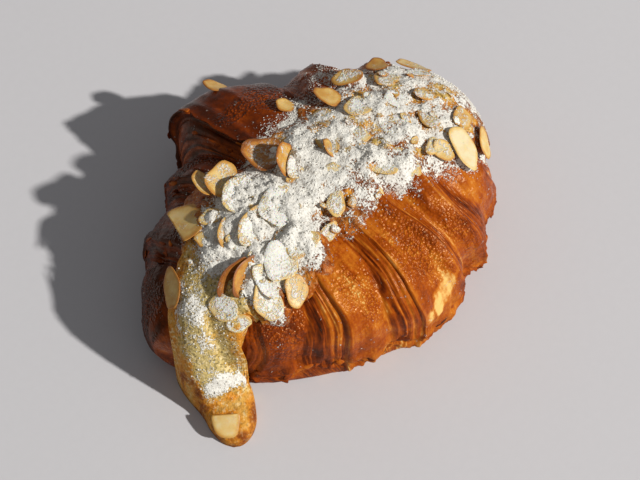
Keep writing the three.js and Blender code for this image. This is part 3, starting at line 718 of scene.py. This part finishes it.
def creamPowder(g):  # thick along the stripe and by the flakes, thin at its sides, none at the tip
    amount = cream["powder"]
    onTongue = amount["tongue"] + 0.25 * g.lump + amount["bend"] * bell(g.x, -72, 4) * bell(g.y, 0, 6)
    powder = mix(onTongue, amount["stripe"] + 0.3 * g.lump, g.onStripe)
    nearThin = window(g.x, -25, -8, 30, 44) * smooth(0.2, 0.7, g.across)
    farThin = window(g.x, 2, 12, 46, 56) * smooth(0.6, 0.85, -g.across)
    edgeThin = g.onStripe * smooth(0.7, 1, g.rim + 0.12 * g.heap)
    powder = mix(powder, amount["thin"] + 0.15 * g.lump, np.max([nearThin, farThin, edgeThin], axis=0))
    lines = smooth(52, 62, g.x) * smooth(-0.35, 0.1, g.across)  # the wraps of the blunt end
    lines = lines * (0.6 + 0.4 * np.sin(1.9 * g.x + 2 * g.heap))
    powder = powder + amount["bank"] * g.bank * g.onStripe + amount["tan"] * g.tan + amount["lines"] * lines
    nearBare = window(g.x, -56, -46, -12, -4) * smooth(0.72, 0.88, g.across + 0.08 * g.heap)
    farBare = window(g.x, -58, -50, -26, -14) * smooth(0.5, 0.78, 0.12 * g.heap - g.across)
    powder = mix(powder, amount["bare"], np.maximum(nearBare, farBare))
    powder = np.maximum(powder, amount["knee"] * g.knee * smooth(-0.95, -0.6, g.across))
    # the crease loses its powder, so the darker valley is painted shade
    powder = powder * smooth(0.28, 0.33, g.t + 0.02 * g.heap) * (1 - 0.8 * g.crease)
    return powder * (1 - smooth(0.74, 0.9, g.rim) * (1 - g.onStripe))


def buildCream(material):  # rings across the cream from the tip to the blunt end, closed by a point at each
    g = creamSurface()
    powder = creamPowder(g)
    tip = [*cream["tip"], 0]
    end = [*cream["end"], float(pastryTop(*np.array(cream["end"], float)))]
    closed = np.concatenate([g.points.reshape(-1, 3), [tip, end]])
    piece = makePiece(
        "almondCream", closed, ringFaces(*g.x.shape), material, "cream",
        toast=np.append(creamToast(g), [0.8, 1]), powder=np.append(powder, [0, 0]),
    )
    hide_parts("almond_cream")
    top = slice(cream["across"] + 1)
    return g.points[:, top], powder[:, top] * g.edge[:, top]


creamFinish = {
    "patch": 170, "pit": 950, "bakedPatch": 260, "crumbGrain": 700, "grain": 420,  # scales per metre
    "tones": [
        (0.0, (0.56, 0.43, 0.165)),
        (0.35, (0.58, 0.37, 0.09)),
        (0.65, (0.64, 0.25, 0.022)),
        (0.85, (0.34, 0.10, 0.010)),
        (1.0, (0.22, 0.048, 0.006)),
    ],
    "baked": [(0.35, (0.13, 0.022, 0.002)), (0.5, (0.33, 0.07, 0.004)), (0.65, (0.50, 0.15, 0.011))],
    "crumb": (0.80, 0.64, 0.34), "roughness": (0.7, 0.3), "specular": 0.25, "tint": (1, 0.75, 0.5),
}


def creamMaterial():  # coloured by the toast, crumbed where pale, glossy where bare and brown, then sugared
    paint = Paint("almondCream")
    toast, powder = paint.value("toast"), paint.value("powder")
    colour = paint.math("ADD", toast, paint.swing(paint.noise(creamFinish["patch"]), 0.2))
    colour = paint.ramp(colour, creamFinish["tones"])
    pits = paint.span(paint.noise(creamFinish["pit"], 2), 0.34, 0.52, 0.4, 1.0)
    colour = paint.blend(paint.span(toast, 0.45, 0.65, 1.0, 0.5), colour, pits, "MULTIPLY")
    bare = paint.span(powder, 0.4, 0.2)
    glossy = paint.math("MULTIPLY", bare, paint.span(toast, 0.8, 0.95))  # bare edge, baked like the crust
    baked = paint.ramp(paint.noise(creamFinish["bakedPatch"], 4, 0.65), creamFinish["baked"])
    colour = paint.blend(glossy, colour, baked)
    crumb = paint.span(paint.noise(creamFinish["crumbGrain"], 2), 0.53, 0.63, 0.0, 0.75)
    crumb = paint.math("MULTIPLY", crumb, paint.span(toast, 0.55, 0.75, 1.0, 0.2))
    colour = paint.blend(crumb, colour, creamFinish["crumb"])
    cover, white, fine = sugarCover(paint, powder)
    paint.put("Base Color", paint.blend(cover, colour, white))
    shine = paint.math("MULTIPLY", glossy, paint.math("SUBTRACT", 1.0, cover))
    paint.put("Roughness", paint.span(shine, 0.0, 1.0, *creamFinish["roughness"]))
    paint.put("Specular IOR Level", creamFinish["specular"])
    paint.put("Specular Tint", creamFinish["tint"])
    grain = paint.noise(creamFinish["grain"], 3, 0.65)
    grain = paint.math("MULTIPLY", grain, paint.span(shine, 0.0, 1.0, 1.0, 0.5))
    bump = paint.bump(grain, 0.6, 0.0012)
    bump = paint.bump(cover, 0.6, 0.0004, bump)
    paint.put("Normal", paint.bump(fine, 0.6, 0.0006, bump))
    return paint.material


# flaked almonds: egg-shaped slices in the solid's places, with smaller ones and broken bits between them

flakes = {
    "thick": 0.7, "sides": 36, "rings": 8, "uneven": 0.055,
    "standShare": 0.3,  # of a standing flake's rise, the part by which its middle is lifted
    "heap": 1.0, "lee": 118,  # powder on the most dusted flakes, heaped towards this heading
    "strewn": {
        "first": 0, "count": 20, "x": (-18, 66), "jitter": (0.2, 0.8), "halfWidth": 21, "length": (9, 14),
        "width": (0.6, 0.8), "lean": (1, 14), "roll": (0, 0), "lift": (-1.3, -0.4), "tone": (0.15, 0.5),
        "dust": (0.55, 1.0), "nearWear": 0.35, "broken": (0.3, 1.2),
    },
    "bits": {
        "first": 100, "count": 46, "x": (-60, 70), "jitter": (0, 1), "halfWidth": 22, "length": (3, 6.5),
        "width": (0.55, 0.8), "lean": (0, 16), "roll": (-10, 10), "lift": (-0.2, 0.3), "tone": (0.2, 0.55),
        "dust": (0.3, 0.9), "nearWear": 0, "broken": (0.3, 1),
    },
    "bitGap": 7,  # bits keep this far from the middle of a placed flake
}
# heading, lean and roll are in degrees, and broken is the share of half the length before the snapped end
flakeColumns = "x y length width curl heading lean roll lift tone dust broken".split()
placedFlakes = np.array([
    (-84.5, -27, 14, 11, -0.3, 47, 1, 0, 0.1, 0.24, 0.0, 0.3),
    (-71.5, 13, 17, 9, 0.6, -139, 0, -8, -0.3, 0.42, 0.0, 1),
    (-64, -8, 12, 9.5, 0.3, -87, 4, 0, 0.4, 0.2, 0.78, 1),
    (-63.5, -14.5, 10, 8, 0.3, -40, 6, 0, 0.3, 0.3, 0.85, 1),
    (-55, -3, 18, 8, 1.0, 6, 8, 56, -1.4, 0.85, 0.05, 1),
    (-52, -6.5, 17, 8.5, 0.9, 18, 6, 48, -1, 0.66, 0.1, 1),
    (-52, -18.5, 16, 11, 0.8, -120, 0, -12, 0, 0.2, 0.8, 1),
    (-48, -14, 15, 9, 1.2, -110, 0, -22, 0, 0.15, 0.85, 1),
    (-47, -8.5, 14, 7.5, 1.0, -125, 0, -30, -0.2, 0.25, 0.85, 1),
    (-50, 27.5, 18, 20, 0.3, 158, 24, 0, -0.9, 0.32, 0.1, 0.28),
    (-50.5, 15.5, 8, 7, 0, 120, 12, 0, 0, 0.35, 0.2, 1),
    (-44.5, 10, 14, 7, 0.4, 40, 0, 44, -0.4, 0.42, 0.6, 1),
    (-42.5, 19.5, 10, 7, 0.4, 150, 8, 0, 0.4, 0.25, 0.6, 1),
    (-44, 3.5, 11, 8, 0.8, -102, 0, -15, -0.2, 0.2, 0.85, 1),
    (-42.5, -23.5, 13, 9, 0.4, -125, 2, -8, 0.2, 0.3, 0.5, 1),
    (-39.5, -12.5, 16, 13, 0.8, 60, 0, 10, 0.4, 0.05, 0.97, 1),
    (-36, 4, 17, 11, 1.0, 19, 0, 30, -0.3, 0.3, 0.8, 1),
    (-33.5, 31.5, 15, 10, 0.9, 65, 0, 56, 0.4, 0.3, 0.4, 1),
    (-28.5, 27, 17, 13, 1.4, 30, 0, 38, -0.8, 0.32, 0.4, 1),
    (-29.5, 17.5, 17, 13, 1.4, 25, 0, 24, -0.2, 0.18, 0.78, 1),
    (-28, 9.5, 9, 7, 0.5, 40, 0, 15, 0.2, 0.25, 0.8, 1),
    (-24, 3.5, 18, 13.5, 1.2, 35, 0, 11, 0.2, 0.08, 1.0, 1),
    (-28.5, -13, 15, 11.5, 0.6, -30, 2, 0, 0.2, 0.25, 0.72, 1),
    # this curled flake's darker tone is partly painted shade for its shadowed inside
    (-10.5, 24.5, 16, 16, 2.4, 125, 26, 0, -1.2, 0.74, 0.42, 1),
    (-7.5, 15, 14, 11, 0.5, 33, 0, 66, 0.2, 0.56, 0.3, 1),
    (-5, 11, 15, 8, 0.6, 35, 0, 20, -0.2, 0.2, 0.9, 1),
    (8, 7, 9, 6, 0.4, 60, 0, 45, -0.2, 0.5, 0.25, 1),
    (17.5, -11.5, 15, 10, 0.5, -68, 4, 0, 0, 0.2, 0.85, 1),
    (24.5, -19.5, 10, 8, 0.4, -60, 3, 0, 0, 0.3, 0.6, 1),
    (26.5, 24.5, 12, 10, 0.4, 120, 30, 0, -0.2, 0.45, 0.05, 1),
    (40.5, 27, 13, 8, 0.5, 133, 8, -22, -0.4, 0.4, 0.5, 1),
    (56, 25.5, 10, 9, 0.5, 43, 20, 0, -0.6, 0.6, 0.1, 1),
    (69.5, 18, 15, 9, 0.5, -46, 0, 16, -0.4, 0.35, 0.3, 1),
    (48, -26.5, 19, 11.5, 0.5, -97, 2, 0, 0.4, 0.0, 0.06, 1),
    (61.5, -27, 14, 9, 0.4, -114, 6, 0, -0.8, 0.3, 0.1, 1),
    (40.5, -23, 10, 8, 0.4, -80, 2, 0, -0.2, 0.25, 0.45, 1),
])
crustFlakes = np.array([
    (14, 35.5, 8, 7, 0.2, 120, 20, 0, -0.2, 0.42, 0.0, 1),
    (6.5, 61, 11, 9, 0.5, 100, 36, 0, -1, 0.5, 0.0, 1),
])


def column(rows, *names):  # named columns of a list of flakes, one or several
    found = [rows[:, flakeColumns.index(name)] for name in names]
    return found if len(found) > 1 else found[0]


def strewnFlakes(rule):  # even steps along, golden-ratio steps across, and each size drawn between two limits
    def between(name, channel):  # straight blend between the rule's two limits
        return mix(*rule[name], draw(k, channel))
    k = rule["first"] + np.arange(rule["count"])
    x = mix(*rule["x"], (k - rule["first"] + between("jitter", 1)) / rule["count"])
    y = rule["halfWidth"] * (2 * (k * goldenStep % 1) - 1)
    length = between("length", 2)
    return np.stack([
        x, y, length, length * between("width", 3), mix(-0.4, 0.8, draw(k, 4)), 360 * draw(k, 5),
        between("lean", 6), between("roll", 11), between("lift", 7), between("tone", 8),
        between("dust", 9) * (1 - rule["nearWear"] * smooth(9, 16, -y)), between("broken", 10),
    ], -1)


def clearOfPlaced(rows):  # the rows whose middle is further than the gap from every placed flake
    offX, offY = [column(rows, axis)[:, None] - column(placedFlakes, axis) for axis in ("x", "y")]
    return rows[np.hypot(offX, offY).min(1) > flakes["bitGap"]]


def surfaceFrames(pointAt, a, b, step):  # point and upward normal from differences along both parameters
    alongA = pointAt(a + step, b) - pointAt(a - step, b)
    alongB = pointAt(a, b + step) - pointAt(a, b - step)
    return pointAt(a, b), facingUp(unit(np.cross(alongA, alongB)))


def creamSpots(x, y):  # places on the smooth cream over a plan, held off its rim
    along, across = creamShares(x, y)
    along, across = np.clip(along, 0.035, 0.965), np.clip(across, -0.95, 0.95)
    return surfaceFrames(lambda a, b: np.stack(creamTop(a, b)[:3], -1), along, across, 0.03)


def crustPointAt(s, angle):  # the dome pushed out along its normal by the broad relief
    x, y, z, outY, outZ = domePoint(s, angle)
    relief = broadRelief(x, angle, False) * reliefShare(s, angle)
    return np.stack([x, y + outY * relief, z + outZ * relief], -1)


def crustSpots(x, y):  # places on the crust over a plan
    return surfaceFrames(crustPointAt, x / reachOf(x), crustAngle(x, y), 0.04)


def sliceShapes(length, width, curl, broken, heap, away, sizes):
    # polar grid: an egg outline scaled from the middle to the rim on both faces, cupped, one end snapped off,
    # with powder heaped on top towards the away angle
    count, rings, thick = len(length), sizes["rings"], sizes["thick"]
    turn = np.linspace(0, 2 * math.pi, sizes["sides"], endpoint=False)
    reach = np.sin(np.linspace(0, math.pi / 2, rings + 1))[1:]
    share = np.concatenate([reach, reach[-2::-1]])[:, None]  # top face outwards, then the under face inwards
    face = np.concatenate([np.ones(rings), -np.ones(rings - 1)])[:, None]
    face[rings - 1] = 0
    values = (length, width, curl, broken, heap, away, np.arange(count))
    length, width, curl, broken, heap, away, k = [np.asarray(v)[:, None, None] for v in values]
    waves = np.sin(3 * turn + 6 * draw(k, 21)) + 0.7 * np.sin(5 * turn + 6 * draw(k, 22))
    dented = noiseAt(3 * np.cos(turn), 3 * np.sin(turn), 3.1 * k, 59)
    outline = 1 + sizes["uneven"] * waves + 0.035 * np.minimum(1, heap) * dented
    x = share * np.minimum(length * np.cos(turn) * outline, broken * length) / 2
    y = share * width * np.sin(turn) * (1 - mix(0.08, 0.32, draw(k, 25)) * np.cos(turn)) / 2 * outline
    cup = curl * ((2 * x / length) ** 2 + 0.5 * (2 * y / width) ** 2)
    z = cup + 0.25 * np.sin(2 * turn + 6 * draw(k, 23)) * share ** 2
    z = z + face * np.sqrt(np.maximum(0, 1 - share ** 8)) * thick / 2
    wedge = np.maximum(0, 0.4 + 0.6 * share * np.cos(turn - away))
    wedge = wedge + 0.45 * layeredNoise(x / 2.8, y / 2.8, 5.7 * k, 57)
    z = z + (face > 0) * heap * (1 - share ** 6) * wedge
    middles = np.zeros((count, 2, 3))
    middles[:, 0, 2], middles[:, 1, 2] = z[:, 0].mean(1), -thick / 2
    points = np.concatenate([np.stack([x, y, z], -1).reshape(count, -1, 3), middles], 1)
    rim = np.append(np.broadcast_to(share, x.shape[1:]), [0, 0])
    worn = mix(0, 0.55, draw(k, 27)) * smooth(0, 1, share * np.cos(turn - 6.28 * draw(k, 26)))
    return points, rim, np.concatenate([worn.reshape(count, -1), np.zeros((count, 2))], 1)


def sliceFaces(count, sizes):  # rings over the top face and back over the under face, for each slice
    total = 2 * sizes["rings"] - 1
    return repeatedFaces(ringFaces(total, sizes["sides"]), count, total * sizes["sides"] + 2)


def turnedFrames(rows, normal):  # heading in plan, lean about the side axis, then roll about the long axis
    heading, lean, roll = [angle * degree for angle in column(rows, "heading", "lean", "roll")]
    level = np.stack([np.cos(heading), np.sin(heading), 0 * heading], -1)
    forward = unit(level - normal * np.sum(level * normal, -1, keepdims=True))
    side = np.cross(normal, forward)
    c, s = np.cos(lean)[:, None], np.sin(lean)[:, None]
    tipped, upright = forward * c + normal * s, normal * c - forward * s
    c, s = np.cos(roll)[:, None], np.sin(roll)[:, None]
    return tipped, side * c + upright * s, upright * c - side * s


def carried(local, centre, axes):  # local shape carried to its place along three axes
    return centre[:, None] + sum(local[:, :, k:k + 1] * axis[:, None] for k, axis in enumerate(axes))


def placeFlakes(rows, spots):  # slices set on a surface, raised by their lift and by how far they stand up
    length, width, curl, lift, broken = column(rows, "length", "width", "curl", "lift", "broken")
    heap = flakes["heap"] * smooth(0.8, 1.1, column(rows, "dust"))
    away = (flakes["lee"] - column(rows, "heading")) * degree
    local, rim, worn = sliceShapes(length, width, curl, broken, heap, away, flakes)
    point, normal = spots(*column(rows, "x", "y"))
    lean, roll = [np.abs(np.sin(angle * degree)) for angle in column(rows, "lean", "roll")]
    rise = lift + flakes["standShare"] * (length * lean + width * roll)
    world = carried(local, point + normal * rise[:, None], turnedFrames(rows, normal))
    world[..., 2] = np.maximum(world[..., 2], 0.2)
    return world, np.broadcast_to(rim, world.shape[:2]), worn


def buildFlakes(material):  # every slice in one mesh, with its tone and powder on all its points
    bits = clearOfPlaced(strewnFlakes(flakes["bits"]))
    onCream = np.concatenate([placedFlakes, strewnFlakes(flakes["strewn"]), bits])
    placed = [placeFlakes(onCream, creamSpots), placeFlakes(crustFlakes, crustSpots)]
    points, rim, worn = [np.concatenate(parts) for parts in zip(*placed)]
    rows = np.concatenate([onCream, crustFlakes])
    tone, dust = [np.repeat(value[:, None], points.shape[1], 1) for value in column(rows, "tone", "dust")]
    return makePiece(
        "flakedAlmonds", points.reshape(-1, 3), sliceFaces(len(rows), flakes), material, "cream",
        rim=rim, tone=tone, powder=dust - worn,
    )


flakeFinish = {
    "patch": 200, "broad": 130, "soft": 420,  # scales per metre
    "tones": [
        (0.0, (0.74, 0.63, 0.38)),
        (0.3, (0.70, 0.48, 0.17)),
        (0.55, (0.55, 0.29, 0.06)),
        (0.8, (0.40, 0.15, 0.025)),
        (1.0, (0.22, 0.07, 0.012)),
    ],
    "roughness": (0.42, 0.85), "ior": 1.4,
    "glow": 0.3, "glowRadius": (1.0, 0.6, 0.25), "glowDepth": 0.0012,
}


def flakeMaterial():  # coloured by the tone, browner at the rim, sugared where it faces up, worn in patches
    paint = Paint("flakedAlmond")
    rim, powder = paint.value("rim"), paint.value("powder")
    patchy, broad = paint.noise(flakeFinish["patch"]), paint.noise(flakeFinish["broad"], 2)
    tone = paint.math("ADD", paint.value("tone"), paint.swing(patchy, 0.12))
    brown = paint.span(powder, 0.2, 0.9, 0.34, 0.12)
    tone = paint.math("MULTIPLY_ADD", paint.span(rim, 0.7, 1.0), brown, tone)
    colour = paint.ramp(tone, flakeFinish["tones"])
    split = paint.nodes.new("ShaderNodeSeparateXYZ")
    paint.feed(split.inputs[0], paint.nodes.new("ShaderNodeNewGeometry").outputs["Normal"])
    amount = paint.math("MULTIPLY", powder, paint.span(split.outputs["Z"], 0.1, 0.7))
    worn = paint.math("MULTIPLY_ADD", rim, 0.6, -0.35)
    worn = paint.math("MULTIPLY_ADD", broad, 1.5, worn)
    worn = paint.math("MULTIPLY", paint.span(worn, 0.75, 1.2), paint.span(powder, 0.7, 1.1, 0.65, 0.15))
    amount = paint.math("SUBTRACT", amount, worn)
    amount = paint.math("MULTIPLY_ADD", paint.swing(broad, 0.35), powder, amount)
    cover, white, fine = sugarCover(paint, amount, 0.09)
    white = paint.blend(0.4, white, tuple(1.04 * c for c in sugar["colour"]))
    paint.put("Base Color", paint.blend(cover, colour, white))
    paint.put("Roughness", paint.span(cover, 0.0, 1.0, *flakeFinish["roughness"]))
    paint.put("IOR", flakeFinish["ior"])
    paint.put("Subsurface Weight", flakeFinish["glow"])
    paint.put("Subsurface Radius", flakeFinish["glowRadius"])
    paint.put("Subsurface Scale", flakeFinish["glowDepth"])
    bump = paint.bump(patchy, 0.2, 0.0008)
    bump = paint.bump(paint.math("MULTIPLY", fine, cover), 0.5, 0.0006, bump)
    soft = paint.math("MULTIPLY", paint.noise(flakeFinish["soft"], 3, 0.65), cover)
    paint.put("Normal", paint.bump(soft, 0.45, 0.001, bump))
    return paint.material


# loose sugar: clumped grains lying on the cream, the flakes and the crust beside them

grains = {
    "onCrust": 3400, "onCream": 3600, "onFlakes": 1200,
    "radius": (0.16, 0.42), "finer": 0.65, "uneven": 0.3, "lift": 0.35, "shift": 0.9,
}


def grainShape():  # twenty-sided ball: corners at the golden ratio
    r = (1 + 5 ** 0.5) / 2
    corners = [
        (-1, r, 0), (1, r, 0), (-1, -r, 0), (1, -r, 0), (0, -1, r), (0, 1, r),
        (0, -1, -r), (0, 1, -r), (r, 0, -1), (r, 0, 1), (-r, 0, -1), (-r, 0, 1),
    ]
    sides = [
        (0, 11, 5), (0, 5, 1), (0, 1, 7), (0, 7, 10), (0, 10, 11),
        (1, 5, 9), (5, 11, 4), (11, 10, 2), (10, 7, 6), (7, 1, 8),
        (3, 9, 4), (3, 4, 2), (3, 2, 6), (3, 6, 8), (3, 8, 9),
        (4, 9, 5), (2, 4, 11), (6, 2, 10), (8, 6, 7), (9, 8, 1),
    ]
    return np.array(corners) / math.hypot(1, r), sides


def gridSpots(points, weights):  # grid places with their upward normals, weighted by the area round each
    normal = np.cross(np.gradient(points, axis=0), np.gradient(points, axis=1))
    area = np.linalg.norm(normal, axis=-1)
    return points.reshape(-1, 3), facingUp(unit(normal)).reshape(-1, 3), (area * weights).ravel()


def meshSpots(piece, weights):  # points of a mesh with their normals, weighted where they face up
    count = len(piece.data.vertices)
    points, normals = np.empty(count * 3), np.empty(count * 3)
    piece.data.vertices.foreach_get("co", points)
    piece.data.vertex_normals.foreach_get("vector", normals)
    points, normals = points.reshape(-1, 3) / mm, normals.reshape(-1, 3)
    return points, normals, weights * smooth(0.35, 0.7, normals[:, 2])


def pickSpots(spots, count, channel):  # even steps along the running total of the weights, each step jittered
    points, normals, weights = spots
    total = np.cumsum(weights)
    k = np.arange(count)
    index = np.searchsorted(total, (k + draw(k, channel)) / count * total[-1])
    index = np.minimum(index, len(total) - 1)
    shift = np.stack([draw(k, channel + axis) for axis in (1, 2, 3)], -1) - 0.5
    normal = normals[index]
    level = shift - normal * np.sum(shift * normal, -1, keepdims=True)
    return points[index] + grains["shift"] * level, normal


def buildGrains(material, crustGrid, creamGrid, flakePiece):  # uneven balls, sunk into what they lie on
    dusted = np.empty(len(flakePiece.data.vertices), np.float32)
    flakePiece.data.attributes["powder"].data.foreach_get("value", dusted)
    picked = [
        pickSpots(gridSpots(crustGrid[0], np.clip(crustGrid[1] - 0.12, 0, 1) ** 1.5), grains["onCrust"], 41),
        pickSpots(gridSpots(creamGrid[0], np.clip(creamGrid[1], 0, 1)), grains["onCream"], 47),
        pickSpots(meshSpots(flakePiece, np.clip(dusted - 0.2, 0, 1)), grains["onFlakes"], 53),
    ]
    place, normal = [np.concatenate(parts) for parts in zip(*picked)]
    ball, sides = grainShape()
    corners = len(ball)
    k = np.arange(len(place))
    counts = [grains[name] for name in ("onCrust", "onCream", "onFlakes")]
    finer = np.repeat([grains["finer"], 1, grains["finer"]], counts)
    radius = (finer * mix(*grains["radius"], draw(k, 61) ** 2))[:, None]
    uneven = 1 + grains["uneven"] * (draw(k[:, None] * corners + np.arange(corners), 62) - 0.5)
    points = (place + normal * radius * grains["lift"])[:, None] + ball * (radius * uneven)[..., None]
    points[..., 2] = np.maximum(points[..., 2], 0)
    faces = repeatedFaces(sides, len(place), corners)
    makePiece("sugarGrains", points.reshape(-1, 3), faces, material, "cream")


def grainMaterial():  # white with a slightly darker tint in places
    paint = Paint("sugarGrain")
    tint = paint.ramp(paint.noise(900, 1), [(0.35, sugar["shade"]), (0.6, sugar["colour"])])
    paint.put("Base Color", tint)
    paint.put("Roughness", 0.8)
    return paint.material


# loose leaves of crust along the sheet edges and the foot

shards = {
    "perEdge": 10, "pastEdge": (-0.6, 5), "edgeTurn": (32, 88),
    "onFoot": 60, "footX": (-72, 72), "footTurn": (90, 104),
    "length": (3, 8), "width": (1.6, 3.2), "curl": (-0.2, -0.9), "broken": (0.6, 1.4), "lift": (4, 20),
    "out": 0.25, "bake": (0.35, 0.85), "thick": 0.4, "sides": 16, "rings": 3, "uneven": 0.1,
}


def shardPlaces():  # place on the ridge, turn and open side, past each sheet edge and then along the foot
    perEdge, onFoot = shards["perEdge"], shards["onFoot"]
    k, foot = np.arange(perEdge * len(wrapEdges)), np.arange(onFoot)
    faces = np.array([edge["faces"] for edge in wrapEdges])[k // perEdge]
    lane = np.array(restPlaces)[k // perEdge] + faces * mix(*shards["pastEdge"], draw(k, 71) ** 2)
    footLane = mix(*shards["footX"], (foot + draw(foot, 74)) / onFoot)
    turn = mix(*shards["edgeTurn"], draw(k, 73))  # the far side's edges are the ragged ones
    footTurn = np.where(foot % 2 == 0, -1, 1) * mix(*shards["footTurn"], draw(foot, 75))
    return np.append(lane, footLane), np.append(turn, footTurn), np.append(faces, 0 * foot + 1), len(k)


def buildShards(material, crustGrid):
    # a leaf lies along its edge, lifted on the open side; on the foot it lies along the roll, lifted outwards
    points, _, lane, angle = crustGrid
    place, turn, faces, onEdges = shardPlaces()
    n = np.arange(len(place))
    isFoot = (n >= onEdges)[:, None]
    i = np.clip(np.searchsorted(lane[:, 0], place), 1, lane.shape[0] - 2)
    j = np.clip(np.searchsorted(angle[0] / degree, turn), 1, lane.shape[1] - 2)
    along, around = unit(points[i + 1, j] - points[i - 1, j]), unit(points[i, j + 1] - points[i, j - 1])
    normal = unit(np.cross(along, around))
    outward = np.where(isFoot, around * np.sign(turn)[:, None], along * faces[:, None])
    lift = mix(*shards["lift"], draw(n, 76))[:, None] * degree
    sideways = outward * np.cos(lift) + normal * np.sin(lift)
    upright = np.cross(np.where(isFoot, along, around), sideways)
    upright = upright * np.sign(np.sum(upright * normal, -1, keepdims=True))
    forward = np.cross(sideways, upright)
    names = ("length", "width", "curl", "broken")
    sizes = [mix(*shards[name], draw(n, 77 + k)) for k, name in enumerate(names)]
    local, rim, _ = sliceShapes(*sizes, 0 * n, 0 * n, shards)
    centre = points[i, j] + sideways * shards["out"] * sizes[1][:, None]
    world = carried(local, centre, (forward, sideways, upright))
    world[..., 2] = np.maximum(world[..., 2], 0)
    bake = mix(*shards["bake"], draw(n, 81))[:, None] + 0.1 * rim[None]
    none = 0 * bake
    makePiece(
        "crustLeaves", world.reshape(-1, 3), sliceFaces(len(n), shards), material, "crust",
        bake=bake, dust=none, dull=none + 0.5, crisp=none, opened=none, lane=world[..., 0], arc=world[..., 1],
    )


# camera, floor and light

view = {
    "azimuth": -46.56, "elevation": 60, "distance": 800, "aimHeight": 25,
    "picture": (640, 480), "pixelsPerMm": 2.55, "middle": (327.37, 217.07),  # the aim's place in the picture
}


def buildCamera():  # looks along the two angles at a point shifted so that the aim falls on its place
    a, e = view["azimuth"] * degree, view["elevation"] * degree
    back = np.array([math.sin(a) * math.cos(e), -math.cos(a) * math.cos(e), math.sin(e)])
    right = np.array([math.cos(a), math.sin(a), 0])
    up = np.cross(back, right)
    offX, offY = [(p / 2 - m) / view["pixelsPerMm"] for p, m in zip(view["picture"], view["middle"])]
    target = np.array([0, 0, view["aimHeight"]]) + right * offX - up * offY
    data = bpy.data.cameras.new("camera")
    data.lens = data.sensor_width * view["pixelsPerMm"] * view["distance"] / view["picture"][0]
    data.clip_start = 0.01
    camera = bpy.data.objects.new("camera", data)
    camera.location = (target + back * view["distance"]) * mm
    camera.rotation_euler = (math.pi / 2 - e, 0, a)
    bpy.context.scene.collection.objects.link(camera)
    bpy.context.scene.camera = camera
    print("camera", tuple(camera.location), "lens", data.lens)


studio = {
    "floor": (0.61, 0.597, 0.605), "floorSize": 6,
    "key": 430, "keySize": 0.22, "keyAway": 6, "keyHeight": 38, "keyPlan": (0.34, -0.94),
    "keyColour": (1, 0.985, 0.965), "fill": 0.21, "fillColour": (0.95, 0.96, 1, 1),
}


def buildStudio():  # a pale floor, a small round light at a height and a plan direction, and a dim even room
    bpy.ops.mesh.primitive_plane_add(size=studio["floorSize"])
    floor = bpy.context.object
    floor.name = "floor"
    paint = Paint("paleFloor")
    dimmer = tuple(0.985 * c for c in studio["floor"])
    paint.put("Base Color", paint.ramp(paint.noise(300, 2), [(0.3, dimmer), (0.7, studio["floor"])]))
    paint.put("Roughness", 0.9)
    paint.put("Specular IOR Level", 0.1)
    floor.data.materials.append(paint.material)
    light = bpy.data.lights.new("key", "AREA")
    light.shape = "DISK"
    light.size = studio["keySize"]
    light.energy = studio["key"]
    light.color = studio["keyColour"]
    key = bpy.data.objects.new("key", light)
    h = studio["keyHeight"] * degree
    planX, planY = studio["keyPlan"]
    key.location = np.array([planX * math.cos(h), planY * math.cos(h), math.sin(h)]) * studio["keyAway"]
    key.rotation_euler = (math.pi / 2 - h, 0, math.atan2(planX, -planY))
    bpy.context.scene.collection.objects.link(key)
    world = bpy.data.worlds.new("room")
    world.use_nodes = True
    world.node_tree.nodes["Background"].inputs["Color"].default_value = studio["fillColour"]
    world.node_tree.nodes["Background"].inputs["Strength"].default_value = studio["fill"]
    bpy.context.scene.world = world
    bpy.context.scene.view_settings.view_transform = "Standard"
    print("floor, key light and room")


crustPaint = crustMaterial()
crustGrid = buildCrust(crustPaint)
buildShards(crustPaint, crustGrid)
creamGrid = buildCream(creamMaterial())
flakePiece = buildFlakes(flakeMaterial())
buildGrains(grainMaterial(), crustGrid, creamGrid, flakePiece)
buildCamera()
buildStudio()
